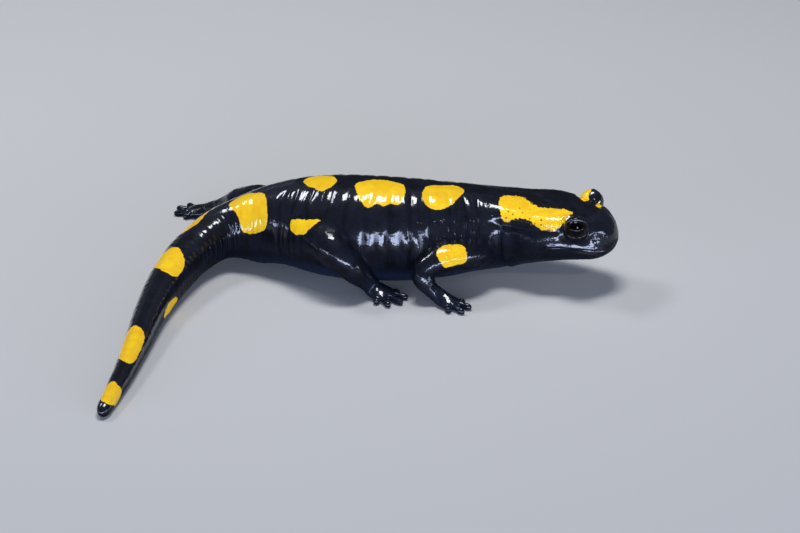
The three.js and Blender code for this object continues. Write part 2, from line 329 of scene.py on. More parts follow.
def point_normals(points: Array, faces: Array) -> Array:
    """Direction square to the surface at each point: the sum of its triangles' area vectors.

    Args:
        points: Places, in millimetres.
        faces: Triangles between them.

    Returns:
        One unit direction for each point.
    """
    a, b, c = (points[faces[:, k]] for k in range(3))
    area = np.cross(b - a, c - a)
    total = np.zeros_like(points)
    for axis in range(3):
        for corner in range(3):
            total[:, axis] += np.bincount(faces[:, corner], area[:, axis], len(points))
    return total / np.maximum(np.linalg.norm(total, axis=1), 1e-12)[:, None]


def relax(points: Array, faces: Array, weight: Array, rounds: int) -> Array:
    """Moves each point half way to the mean of its neighbours, times its weight, each round.

    Args:
        points: Places, in millimetres.
        faces: Triangles between them.
        weight: Share of the move for each point.
        rounds: How often the points move.

    Returns:
        The moved points.
    """
    start = faces[:, [0, 1, 2]].ravel()
    end = faces[:, [1, 2, 0]].ravel()
    count = np.maximum(np.bincount(start, minlength=len(points)), 1)
    for _ in range(rounds):
        sums = [np.bincount(start, points[end, axis], len(points)) for axis in range(3)]
        mean = np.stack(sums, axis=-1) / count[:, None]
        points = points + 0.5 * weight[:, None] * (mean - points)
    return points


def lift_to_floor(points: Array) -> None:
    """Moves every place that is below the floor up to it."""
    points[..., 2] = np.maximum(points[..., 2], 0.0)


@dataclass
class Part:
    """One closed shell of the animal, before all of them become one skin."""

    name: str
    points: Array
    faces: Array
    clearance: Callable[[Array], Array]
    blend: float

    def near(self, points: Array, reach: float) -> Array:
        """Which points lie in this part's box, widened by a reach.

        Args:
            points: Places, in millimetres.
            reach: How far beyond the box a point may lie.

        Returns:
            True for each near point.
        """
        low = self.points.min(axis=0) - reach
        high = self.points.max(axis=0) + reach
        return np.all((points > low) & (points < high), axis=1)

    def clearance_near(self, points: Array, reach: float) -> Array:
        """Height of each point above this part's surface, or the reach where it is far off.

        Args:
            points: Places, in millimetres.
            reach: Greatest height of interest.

        Returns:
            One height for each point, in millimetres.
        """
        heights = np.full(len(points), reach)
        close = self.near(points, reach)
        if np.any(close):
            heights[close] = np.minimum(self.clearance(points[close]), reach)
        return heights

    def swell_towards(self, others: Sequence["Part"]) -> None:
        """Swells this shell where another part comes near, so that the two meet in a hollow.

        A point moves out by a quarter of the reach, times the square of how near it is.

        Args:
            others: The parts that this one meets.
        """
        push = np.zeros(len(self.points))
        for other in others:
            reach = min(self.blend, other.blend)
            near = np.clip(other.clearance_near(self.points, reach) / reach, 0.0, 1.0)
            push += 0.25 * reach * (1.0 - near) ** 2
        self.points = self.points + point_normals(self.points, self.faces) * push[:, None]
        lift_to_floor(self.points)


# ------------------------------------------------------------------ the body tube


@dataclass(frozen=True)
class Station:
    """One section of the body: its axis, half width, rise above and drop below the axis."""

    x: float
    y: float
    z: float
    half: float
    rise: float
    drop: float
    roll: float = 0.0

    def row(self) -> tuple[float, ...]:
        """The section's numbers, as a row of a track."""
        return (self.x, self.y, self.z, self.half, self.rise, self.drop, self.roll)


@dataclass(frozen=True)
class Run:
    """A length of the body whose rings have one spacing and one number of sides."""

    end: float
    step: float
    sides: int


@dataclass(frozen=True)
class Place:
    """Where points lie against the body: distance from the snout, and place in the section.

    The angle is in degrees from the top of the back, positive on the right side, and the
    clearance is the height above the tube's surface.
    """

    distance: Array
    side: Array
    up: Array
    angle: Array
    clearance: Array

    @property
    def turn(self) -> Array:
        """Angle from the top of the back to either side."""
        return np.abs(self.angle)


@dataclass(frozen=True)
class BodyTube:
    """Head, trunk and tail as one tube through stations, in sections fuller than ellipses."""

    fullness: float = 2.15  # power of the sections, 2 for an ellipse
    snout_round: float = 5.0
    tail_round: float = 2.2
    snout_rings: int = 48
    tail_rings: int = 14
    blend: float = 3.6
    cloaca: Bump = Bump(0.9, 180.0, 35.0, 72.7, 3.5)
    stations: tuple[Station, ...] = (
        Station(43.5, -6.55, 10.0, 5.4, 4.2, 4.2, 6),
        Station(40.8, -5.5, 10.5, 5.9, 4.7, 4.5, 6),
        Station(36.9, -4.1, 10.9, 6.8, 5.1, 5.4, 6),
        Station(30.7, -1.6, 10.7, 8.4, 5.65, 6.5, 5),
        Station(23.6, 0.8, 9.3, 7.7, 7.2, 7.6, 2),
        Station(15.0, 1.6, 9.1, 9.0, 8.5, 8.7),
        Station(7.0, 0.3, 9.5, 10.0, 9.4, 9.9),
        Station(-5.0, -0.2, 9.8, 10.9, 10.1, 10.2),
        Station(-13.0, 1.6, 9.5, 10.3, 9.9, 9.8),
        Station(-20.0, 4.2, 9.0, 8.9, 8.8, 8.6),
        Station(-28.5, 5.8, 7.9, 6.3, 6.7, 7.1),
        Station(-34.5, 4.9, 6.5, 5.1, 5.3, 5.4),
        Station(-39.6, -0.9, 5.1, 4.4, 4.4, 4.5),
        Station(-43.2, -9.6, 4.0, 3.95, 3.95, 4.1),
        Station(-45.9, -21.5, 3.1, 3.1, 3.1, 3.3),
        Station(-47.4, -34.0, 2.4, 2.5, 2.5, 2.6),
        Station(-49.0, -47.5, 1.8, 1.85, 1.85, 1.95),
        Station(-51.3, -61.2, 1.15, 1.2, 1.2, 1.3),
    )
    runs: tuple[Run, ...] = (
        Run(14.0, 0.18, 256),
        Run(24.0, 0.25, 256),
        Run(70.0, 0.25, 128),
        Run(80.0, 0.36, 128),
        Run(98.0, 0.22, 64),
        Run(148.1, 0.40, 64),
    )

    @cached_property
    def track(self) -> Track:
        """The axis with its section sizes."""
        return Track([station.row() for station in self.stations])

    def rounding(self, distance: Array) -> Array:
        """Share of its full size that a section has, as both ends close in a quarter circle.

        Args:
            distance: Places along the axis.

        Returns:
            One share for each place.
        """
        nose = np.clip(distance / self.snout_round, 0.0, 1.0)
        tail = np.clip((self.track.length - distance) / self.tail_round, 0.0, 1.0)
        return np.sqrt(1 - (1 - nose) ** 2) * np.sqrt(1 - (1 - tail) ** 2)

    def swelling(self, distance: Array, angle: Array) -> Array:
        """Height of the swollen lips of the cloaca, a bump under the root of the tail."""
        turn = np.abs(np.mod(angle + 180.0, 360.0) - 180.0)
        return self.cloaca.on(turn, distance)

    def place_in_section(self, distance: Array, side: Array, up: Array) -> Array:
        """Place in space of a point beside and above the axis, in a section rolled to the right.

        Args:
            distance: Places along the axis.
            side: How far beside the axis, to the right.
            up: How far above the axis.

        Returns:
            Places, in millimetres.
        """
        values, slopes = self.track.sample(distance)
        lean = np.radians(values[..., 6])
        across = side * np.cos(lean) + up * np.sin(lean)
        above = up * np.cos(lean) - side * np.sin(lean)
        level = np.hypot(slopes[..., 0], slopes[..., 1])
        x = values[..., 0] - slopes[..., 1] / level * across
        y = values[..., 1] + slopes[..., 0] / level * across
        return np.stack([x, y, values[..., 2] + above], axis=-1)

    def surface(self, distance: Array, angle: Array) -> Array:
        """Point of the tube: an ellipse with its corners filled, never below the floor.

        Args:
            distance: Distance from the snout.
            angle: Degrees from the top of the back, positive on the right side.

        Returns:
            Places in space, in the shape of the two arrays blended.
        """
        distance, angle = np.broadcast_arrays(distance, angle)
        values = self.track.sample(distance)[0]
        sine, cosine = np.sin(np.radians(angle)), np.cos(np.radians(angle))
        size = self.rounding(distance)
        height = np.where(cosine > 0, values[..., 4], values[..., 5])
        extra = self.swelling(distance, angle)
        power = 2.0 / self.fullness
        side = values[..., 3] * size * np.sign(sine) * np.abs(sine) ** power + extra * sine
        up = height * size * np.sign(cosine) * np.abs(cosine) ** power + extra * cosine
        points = self.place_in_section(distance, side, up)
        lift_to_floor(points)
        return points

    def locate(self, points: Array) -> Place:
        """Finds where points lie against the tube, the reverse of surface.

        A section stands square to the axis in plan, so the nearest place in plan gives the
        distance. The filled ellipse through the point gives the angle, and its size against
        the tube's own gives the clearance.

        Args:
            points: Places, in millimetres.

        Returns:
            Their distance, place in the section, angle and clearance.
        """
        distance = self.track.nearest(points, 2)
        values, slopes = self.track.sample(distance)
        level = np.hypot(slopes[:, 0], slopes[:, 1])
        offset = points - values[:, :3]
        across = (offset[:, 1] * slopes[:, 0] - offset[:, 0] * slopes[:, 1]) / level
        lean = np.radians(values[:, 6])
        side = across * np.cos(lean) - offset[:, 2] * np.sin(lean)
        up = across * np.sin(lean) + offset[:, 2] * np.cos(lean)
        size = np.maximum(self.rounding(distance), 0.05)
        height = np.where(up > 0, values[:, 4], values[:, 5])
        wide = np.abs(side / (values[:, 3] * size)) ** (self.fullness / 2)
        tall = np.abs(up / (height * size)) ** (self.fullness / 2)
        angle = np.degrees(np.arctan2(np.sign(side) * wide, np.sign(up) * tall))
        scale = np.maximum((wide**2 + tall**2) ** (1 / self.fullness), 1e-6)
        clearance = np.hypot(side, up) * (1.0 - 1.0 / scale)
        return Place(distance, side, up, angle, clearance)

    def build(self) -> Part:
        """The tube as runs of rings, finest on the head, joined where their sides halve.

        Returns:
            The body's shell.
        """
        bend = np.linspace(0.0, math.pi / 2, self.snout_rings + 1)[1:]
        front = self.snout_round * (1 - np.cos(bend))
        points: list[Array] = []
        faces: list[Array] = []
        start, ring, before = self.snout_round, 0, 0
        for run in self.runs:
            count = round((run.end - start) / run.step)
            marks = np.linspace(start, run.end, count + 1)[1:]
            if not points:
                marks = np.concatenate([front, marks])
            if run is self.runs[-1]:
                bend = np.linspace(math.pi / 2, 0.0, self.tail_rings + 1)[:-1]
                back = self.track.length - self.tail_round * (1 - np.cos(bend))
                marks = np.concatenate([marks, back])
            angles = np.arange(run.sides) * 360.0 / run.sides
            points.append(self.surface(marks[:, None], angles[None, :]).reshape(-1, 3))
            faces.append(grid_faces(ring, len(marks), run.sides))
            if before == run.sides:
                faces.append(grid_faces(ring - before, 2, before))
            elif before:
                faces.append(halving_faces(ring - before, ring, run.sides))
            ring += len(marks) * run.sides
            start, before = run.end, run.sides
        tips = self.place_in_section(np.array([0.0, self.track.length]), np.zeros(2), np.zeros(2))
        faces.append(fan_faces(ring, 0, self.runs[0].sides))
        faces.append(fan_faces(ring + 1, ring - before, before)[:, ::-1])
        shell = np.vstack([*points, tips])
        triangles = outward(shell, np.vstack(faces))
        return Part("body", shell, triangles, lambda p: self.locate(p).clearance, self.blend)


# ------------------------------------------------------------------ relief of the skin


@dataclass(frozen=True)
class HeadForm:
    """Mouth, nostrils, crown, cheeks and parotoid glands, as heights on the skin.

    Distances are in millimetres from the snout and turns in degrees from the top of the head.
    """

    body: BodyTube
    mouth_corner: float = 12.4
    mouth_side_drop: float = 0.5
    mouth_tip_drop: float = 1.15
    lip_gap: Two = (0.42, 0.17)  # depth, half width
    upper_lip: Three = (0.24, 0.3, 0.48)  # height, middle, half width
    # More height, more half width, distance and half length of each bulge.
    lip_bulges: tuple[Four, ...] = ((0.25, 0.1, 6.9, 1.5), (-0.03, 0.0, 4.0, 1.2))
    muzzle: Bump = Bump(0.22, 0.3, 1.5, 2.8, 1.8)
    lower_lip: Three = (0.3, -0.92, 0.34)  # as the upper one
    chin_inset: Two = (0.14, 2.4)  # depth, half width
    corner_creases: tuple[Bump, ...] = (
        Bump(0.1, -0.75, 0.14, 11.4, 1.5), Bump(0.08, -1.4, 0.14, 11.4, 1.5),
    )
    nostril: Two = (1.45, 54.0)  # distance, turn
    nostril_radius: float = 0.21
    nostril_depth: float = 0.34
    forms: tuple[Bump, ...] = (
        Bump(-0.35, 0.0, 16.0, 7.0, 3.5),  # crown, hollow between the eyes
        Bump(0.22, 42.0, 12.0, 3.2, 1.6),  # ridge from the eye to the nostril
        Bump(0.35, 92.0, 20.0, 14.3, 3.5),  # full cheek
        Bump(-0.16, 68.0, 12.0, 3.4, 1.6),  # hollow side of the snout
        Bump(-0.07, 79.0, 5.0, 7.6, 2.0),  # hollow under the eye
        Bump(-0.2, 64.0, 4.0, 16.7, 5.0),  # furrow under the gland
    )
    furrows: tuple[tuple[float, Bump], ...] = (
        (7.4, Bump(-0.15, 112.5, 2.6, 16.6, 0.9)),
        (1.7, Bump(-0.13, 27.73, 2.2, 15.0, 1.7)),
    )
    gland: Two = (17.3, 9.4)  # distance, half length
    gland_sides: Four = (14.0, 45.0, 48.0, 62.0)  # turns
    gland_height: float = 0.72
    fold_top: float = 40.0
    fold_depth: float = 0.5
    fold_wander: Two = (0.35, 3.6)  # height and size of its grain
    pores: tuple[Two, ...] = (
        (21.7, 41.0), (20.4, 44.0), (18.0, 38.0), (22.1, 51.0), (14.7, 51.0), (16.0, 46.0),
        (13.8, 45.0), (13.6, 52.0), (19.1, 30.0), (16.7, 27.0),
    )
    pore_radius: float = 0.2
    pore_depth: float = 0.14
    pore_far: float = 9.0  # the distance that is as good as none
    wart_size: float = 0.4
    wart_height: float = 0.018

    def mouth_height(self, place: Place) -> Array:
        """Height above the mouth line, which runs level along the jaw and dips at the snout."""
        dip = (self.mouth_tip_drop - self.mouth_side_drop) * bell(place.distance, 0.0, 2.4)
        return place.up + self.mouth_side_drop + dip

    def lips(self, place: Place) -> Array:
        """A narrow gap between two full lips, which flatten towards the tip of the snout.

        A lip has a height, a middle above the mouth line and a half width. A bulge adds to the
        upper one's height and half width at a distance, most of all under the eye. The lower
        lip is fullest near the snout, and the lower jaw is set a little inside.

        Args:
            place: Places against the body.

        Returns:
            One height for each point, in millimetres.
        """
        h, d = self.mouth_height(place), place.distance
        height, middle, width = self.upper_lip
        for higher, wider, where, along in self.lip_bulges:
            height = height + higher * bell(d, where, along)
            width = width + wider * bell(d, where, along)
        upper = height * bell(h, middle, width) + self.muzzle.on(h, d)
        height, middle, width = self.lower_lip
        lower = height * bell(h, middle, width) * fall(d, 6.0, 9.5)
        height, width = self.chin_inset
        lower -= height * smooth(-h, 0.0, 0.2) * bell(h, 0.0, width)
        depth, width = self.lip_gap
        gap = depth * bell(h, 0.0, width) * (0.45 + 0.55 * smooth(d, 0.8, 3.0))
        creases = sum(crease.on(h, d) for crease in self.corner_creases)
        ahead = fall(d, self.mouth_corner - 1.2, self.mouth_corner + 0.5)
        return ahead * ((upper + lower) * smooth(d, 0.3, 3.6) - gap) - creases

    def lip_calm(self, place: Place) -> Array:
        """Share of the granules that is missing: the lips are smooth."""
        across = bell(self.mouth_height(place), 0.0, 1.3)
        return across * fall(place.distance, 9.0, 12.0) * fall(place.clearance, 0.9, 1.8)

    def holes(self, points: Array) -> Array:
        """Nostrils with a raised rim, and the pores of the glands, as round pits.

        Args:
            points: Places, in millimetres.

        Returns:
            One height for each point, in millimetres.
        """
        depth = np.zeros(len(points))
        for side in Side:
            distance, turn = self.nostril
            at = self.body.surface(np.array(distance), np.array(turn * side.value))
            rho = np.linalg.norm(points - at, axis=1) / self.nostril_radius
            depth += 0.04 * bell(rho, 1.8, 0.8) - self.nostril_depth * bell(rho)
        return depth - self.pore_depth * bell(self.pore_distance(points), 0.0, self.pore_radius)

    def pore_distance(self, points: Array) -> Array:
        """Distance from each point to the nearest gland pore.

        Args:
            points: Places, in millimetres.

        Returns:
            One distance for each point, in millimetres.
        """
        nearest = np.full(len(points), self.pore_far)
        for side in Side:
            for distance, turn in self.pores:
                at = self.body.surface(np.array(distance), np.array(turn * side.value))
                nearest = np.minimum(nearest, np.linalg.norm(points - at, axis=1))
        return nearest

    def relief(self, points: Array, place: Place) -> Array:
        """Height of all the head's forms at each point.

        A furrow slants: its place across is the angle plus so many degrees for each millimetre.

        Args:
            points: Places, in millimetres.
            place: The same places against the body.

        Returns:
            One height for each point, in millimetres.
        """
        d, turn = place.distance, place.turn
        where, along = self.gland
        inner, top, edge, outer = self.gland_sides
        mound = np.exp(-(((d - where) / along) ** 4))
        gland = self.gland_height * mound * smooth(turn, inner, top) * fall(turn, edge, outer)
        total = gland + sum(form.on(turn, d) for form in self.forms)
        total += sum(furrow.on(place.angle + slant * d, d) for slant, furrow in self.furrows)
        total += self.granules(points, place)
        return total + self.throat_fold(points, place) + self.lips(place) + self.holes(points)

    def granules(self, points: Array, place: Place) -> Array:
        """Fine warts, strongest on the side of the snout and behind the corner of the mouth.

        Args:
            points: Places, in millimetres.
            place: The same places against the body.

        Returns:
            One height for each point, in millimetres.
        """
        d, turn = place.distance, place.turn
        rough = bell(turn, 72.0, 12.0) * fall(d, 4.5, 7.0)
        rough += bell(turn, 76.0, 8.0) * bell(d, 11.0, 1.6)
        on_head = fall(d, 21.0, 26.0)
        warts = grain(points, self.wart_size, 41)
        height = (0.01 + self.wart_height * rough) * on_head
        return height * warts * (1.0 - 0.8 * self.lip_calm(place))

    def throat_fold(self, points: Array, place: Place) -> Array:
        """One loose fold round the throat: full skin ahead of a crease, and a hollow behind it.

        The crease leans forward down the side and wanders, and is deepest low on the side.

        Args:
            points: Places, in millimetres.
            place: The same places against the body.

        Returns:
            One height for each point, in millimetres.
        """
        wander, size = self.fold_wander
        crease_at = 23.6 - 1.2 * (place.turn - 58.0) / 76.0 + wander * grain(points, size, 31)
        past = place.distance - crease_at
        crease = -self.fold_depth * bell(past, 0.0, 0.34)
        full = 0.26 * bell(past, -1.3, 1.0)
        hollow = -0.22 * bell(past, 0.9, 0.9)
        second = -0.16 * bell(past, -3.6, 0.45) * smooth(place.turn, 95.0, 130.0)
        deepening = 0.55 + 0.5 * smooth(place.turn, 60.0, 110.0)
        deepening -= 0.6 * smooth(place.turn, 128.0, 165.0)
        window = smooth(place.turn, self.fold_top - 10.0, self.fold_top + 25.0)
        return (crease + full + hollow + second) * window * deepening


@dataclass(frozen=True)
class TrunkForm:
    """Costal grooves with full ribs of skin between them, and lines along back and flank."""

    start: float = 26.5
    end: float = 69.0
    spacing: float = 1.72
    deep: float = 0.26
    shallow: Two = (0.08, 0.2)  # depth high and low on the flank
    drift: float = 0.5
    lean: float = 0.8
    spine_groove: Two = (0.16, 7.0)  # depth, half width
    flank_line: Three = (0.16, 124.0, 5.0)  # depth, turn, half width
    bead: Three = (0.36, 92.0, 13.0)  # height, turn, half width

    def offsets(self, points: Array, place: Place) -> tuple[Array, Array]:
        """Way from the middle of each half rib, and of each rib, as shares of their widths.

        Args:
            points: Places, in millimetres.
            place: The same places against the body.

        Returns:
            Two rows of shares, from -0.5 to 0.5.
        """
        drift = self.drift * grain(points * np.array([1.0, 1.0, 0.45]), 3.4, 21)
        across = (place.distance - self.lean * np.sin(np.radians(place.turn)) + drift) / self.spacing
        pairs = (across + 0.5) / 2
        return across - np.round(across), pairs - np.round(pairs)

    def ends(self, distance: Array) -> Array:
        """1 along the ribs and 0 past them."""
        rise = smooth(distance, self.start, self.start + 3.5)
        return rise * fall(distance, self.end - 3.0, self.end)

    def valleys(self, points: Array, place: Place) -> Array:
        """Share of the bottom of a groove at each point; the shallow ones count low on the flank.

        Args:
            points: Places, in millimetres.
            place: The same places against the body.

        Returns:
            One share for each point.
        """
        halves, whole = self.offsets(points, place)
        low = bell(place.turn, 88.0, 18.0)
        shallow = smooth(np.abs(halves), 0.25, 0.36) * low
        deep = smooth(np.abs(whole), 0.36, 0.44) * smooth(place.turn, 26.0, 44.0)
        return np.maximum(shallow, deep) * self.ends(place.distance)

    def relief(self, points: Array, place: Place) -> Array:
        """Ribs of skin run down the flank, each a wide arch parted in two by a shallow groove.

        The cosine of half a turn across each arch makes its shape. The shallow grooves are
        deeper low on the flank. The ribs lean back, and drift to and fro, so that no two are
        alike. Low on the flank each half rib swells into a bead. A groove runs along the spine,
        and a line along the bottom of the flank.

        Args:
            points: Places, in millimetres.
            place: The same places against the body.

        Returns:
            Height of the skin at each point.
        """
        d, turn = place.distance, place.turn
        halves, whole = self.offsets(points, place)
        high, low = self.shallow
        shallow = high + (low - high) * smooth(turn, 62.0, 82.0)
        window = smooth(turn, 8.0, 34.0) * fall(turn, 128.0, 158.0)
        ends = self.ends(d)
        ribs = self.deep * (np.cos(math.pi * whole) ** 0.8 - 1.0)
        ribs *= 0.85 + 0.35 * grain(points, 3.0, 5)
        ribs += shallow * (np.cos(math.pi * halves) ** 0.8 - 1.0)
        depth, width = self.spine_groove
        spine = -depth * bell(turn, 0.0, width) * smooth(d, 26.0, 31.0) * fall(d, 70.0, 78.0)
        depth, where, width = self.flank_line
        flank = -depth * bell(turn, where, width) * ends
        height, where, width = self.bead
        beads = height * bell(turn - 3.0 * grain(points, 2.6, 17), where, width)
        beads = beads * (0.7 + 0.3 * np.cos(math.pi * halves)) * ends
        return window * ends * ribs + spine + flank + beads


@dataclass(frozen=True)
class TailForm:
    """Rings round the tail, and the skin crowded into wrinkles inside its bend."""

    start: float = 68.0
    spacing: float = 1.55
    depth: float = 0.1
    wrinkle_spacing: float = 0.82
    wrinkles: Bump = Bump(-0.16, 96.0, 30.0, 88.0, 7.5)
    side_groove: Three = (0.14, 96.0, 9.0)  # depth, turn, half width
    swelling: Bump = Bump(0.2, 84.0, 12.0, 77.0, 7.0)

    def relief(self, place: Place) -> Array:
        """Rings round the tail, a beaded swelling along its root, wrinkles right of the bend.

        Args:
            place: Places against the body.

        Returns:
            One height for each point, in millimetres.
        """
        d, turn = place.distance, place.turn
        wave = np.cos(2 * math.pi * (d - self.start) / self.spacing)
        fade = smooth(d, 68.0, 78.0) * (1.0 - 0.85 * smooth(d, 90.0, 112.0))
        rings = -self.depth * (0.5 + 0.5 * wave) ** 3 * fade * smooth(turn, 8.0, 40.0)
        waves = np.cos(2 * math.pi * d / self.wrinkle_spacing)
        wrinkles = (0.5 + 0.5 * waves) ** 2 * self.wrinkles.on(place.angle, d)
        beads = (0.8 - 0.2 * wave) * self.swelling.on(turn, d)
        depth, where, width = self.side_groove
        groove = -depth * bell(turn, where, width) * smooth(d, 78.0, 84.0) * fall(d, 125.0, 143.0)
        return rings + wrinkles + beads + groove


# ------------------------------------------------------------------ legs


@dataclass(frozen=True)
class Foot:
    """Palm or sole with its digits: lengths as shares of the reach, fanned by an angle."""

    heading: float
    palm: Three  # half length, half width, half height
    reach: float
    lengths: tuple[float, ...]
    fan: float
    root: float = 0.85
    tip: float = 0.55
    bow: float = 0.35
    palm_rings: int = 18
    palm_sides: int = 32
    digit_rings: int = 23
    digit_sides: int = 18

    @property
    def direction(self) -> Array:
        """Unit direction in which the foot points, level."""
        turn = math.radians(self.heading)
        return np.array([math.cos(turn), math.sin(turn), 0.0])

    def centre(self, wrist: Array) -> Array:
        """Middle of the palm, a little ahead of the wrist."""
        length, _, height = self.palm
        return np.array([wrist[0], wrist[1], 0.8 * height]) + self.direction * length * 0.45

    def palm_part(self, name: str, wrist: Array) -> Part:
        """The palm: a flattened ball, its radius along, across and up set apart.

        Args:
            name: Name of the leg.
            wrist: Place of the wrist or ankle.

        Returns:
            The palm's shell.
        """
        centre = self.centre(wrist)
        along = self.direction
        axes = np.stack([along, np.array([-along[1], along[0], 0.0]), np.array([0.0, 0.0, 1.0])])
        sizes = np.array(self.palm)
        tilt = np.linspace(0.0, math.pi, self.palm_rings + 2)[1:-1, None]
        turn = np.arange(self.palm_sides)[None, :] * 2 * math.pi / self.palm_sides
        ball = [np.sin(tilt) * np.cos(turn), np.sin(tilt) * np.sin(turn), np.cos(tilt) + 0 * turn]
        rings = centre + (np.stack(ball, axis=-1) * sizes) @ axes
        lift_to_floor(rings)
        top = centre + axes[2] * sizes[2]
        bottom = np.array([centre[0], centre[1], max(centre[2] - sizes[2], 0.0)])
        points, faces = closed_tube(rings, top, bottom)

        def clearance(places: Array) -> Array:
            """Height above the ball, measured along the line from its middle.

            Args:
                places: Places, in millimetres.

            Returns:
                One height for each place.
            """
            local = (places - centre) @ axes.T
            scale = np.maximum(np.linalg.norm(local / sizes, axis=1), 1e-6)
            return np.linalg.norm(local, axis=1) * (1.0 - 1.0 / scale)

        return Part(f"{name}_palm", points, faces, clearance, 1.3)

    def digit_parts(self, name: str, wrist: Array) -> list[Part]:
        """The digits: each leaves the palm, lies down on the floor and ends round.

        Args:
            name: Name of the leg.
            wrist: Place of the wrist or ankle.

        Returns:
            One shell for each digit.
        """
        centre = self.centre(wrist)
        parts: list[Part] = []
        for i, share in enumerate(self.lengths):
            aside_share = i / (len(self.lengths) - 1) - 0.5
            turn = math.radians(self.heading + self.fan * aside_share)
            bow = self.bow * aside_share
            ahead = np.array([math.cos(turn), math.sin(turn)])
            aside = np.array([-ahead[1], ahead[0]])
            length = self.reach * share
            middle_radius = 0.94 * (self.root + self.tip) / 2
            rows = [
                (*(centre[:2] + ahead * 0.6), 1.0, self.root),
                (*(centre[:2] + ahead * 0.6 * length + aside * bow), 0.78, middle_radius),
                (*(centre[:2] + ahead * length), 0.5, self.tip),
            ]
            track = Track(rows)
            share_along = np.linspace(0.0, 1.0, self.digit_rings + 1)[:-1]
            ending = np.sqrt(1 - np.clip((share_along - 0.86) / 0.14, 0.0, 1.0) ** 2)
            knuckles = 1.0 + 0.09 * bell(share_along, 0.8, 0.1)
            knuckles -= 0.07 * bell(share_along, 0.62, 0.07)
            axis = np.array([aside[0], aside[1], 0.0])
            marks = share_along * track.length
            rings = limb_rings(track, axis, marks, self.digit_sides, ending * knuckles)
            values = track.sample(np.array([0.0, track.length]))[0]
            points, faces = closed_tube(rings, values[0, :3], values[1, :3])
            parts.append(Part(f"{name}_digit_{i + 1}", points, faces, limb_clearance(track), 0.75))
        return parts


def limb_frames(track: Track, axis: Array, distance: Array) -> tuple[Array, Array, Array]:
    """Row of the track at each distance, with the two directions that span the section.

    Args:
        track: Places along the limb with its radius.
        axis: Direction square to the plane in which the limb bends.
        distance: Places along the track.

    Returns:
        The rows, and two unit directions for each.
    """
    values, slopes = track.sample(distance)
    along = slopes[:, :3] / np.linalg.norm(slopes[:, :3], axis=1)[:, None]
    across = axis - along * (along @ axis)[:, None]
    across /= np.linalg.norm(across, axis=1)[:, None]
    return values, across, np.cross(along, across)


def limb_rings(track: Track, axis: Array, distance: Array, sides: int, size: Array) -> Array:
    """Round sections of a limb, square to its track and never below the floor.

    Args:
        track: Places along the limb with its radius.
        axis: Direction square to the plane in which the limb bends.
        distance: Where the sections are.
        sides: Points in each section.
        size: Share of the radius that each section has.

    Returns:
        Places in an array of sections, sides and coordinates.
    """
    values, across, third = limb_frames(track, axis, distance)
    angle = np.arange(sides)[None, :, None] * 2 * math.pi / sides
    radius = (values[:, 3] * size)[:, None, None]
    rings = values[:, None, :3] + radius * np.cos(angle) * across[:, None, :]
    rings = rings + radius * np.sin(angle) * third[:, None, :]
    lift_to_floor(rings)
    return rings


def limb_clearance(track: Track) -> Callable[[Array], Array]:
    """Function giving the height of points above a limb: distance to its axis less its radius.

    Args:
        track: Places along the limb with its radius.

    Returns:
        The function.
    """

    def clearance(points: Array) -> Array:
        """Height of each point above the limb."""
        values = track.sample(track.nearest(points, 3))[0]
        return np.linalg.norm(points - values[:, :3], axis=1) - values[:, 3]

    return clearance


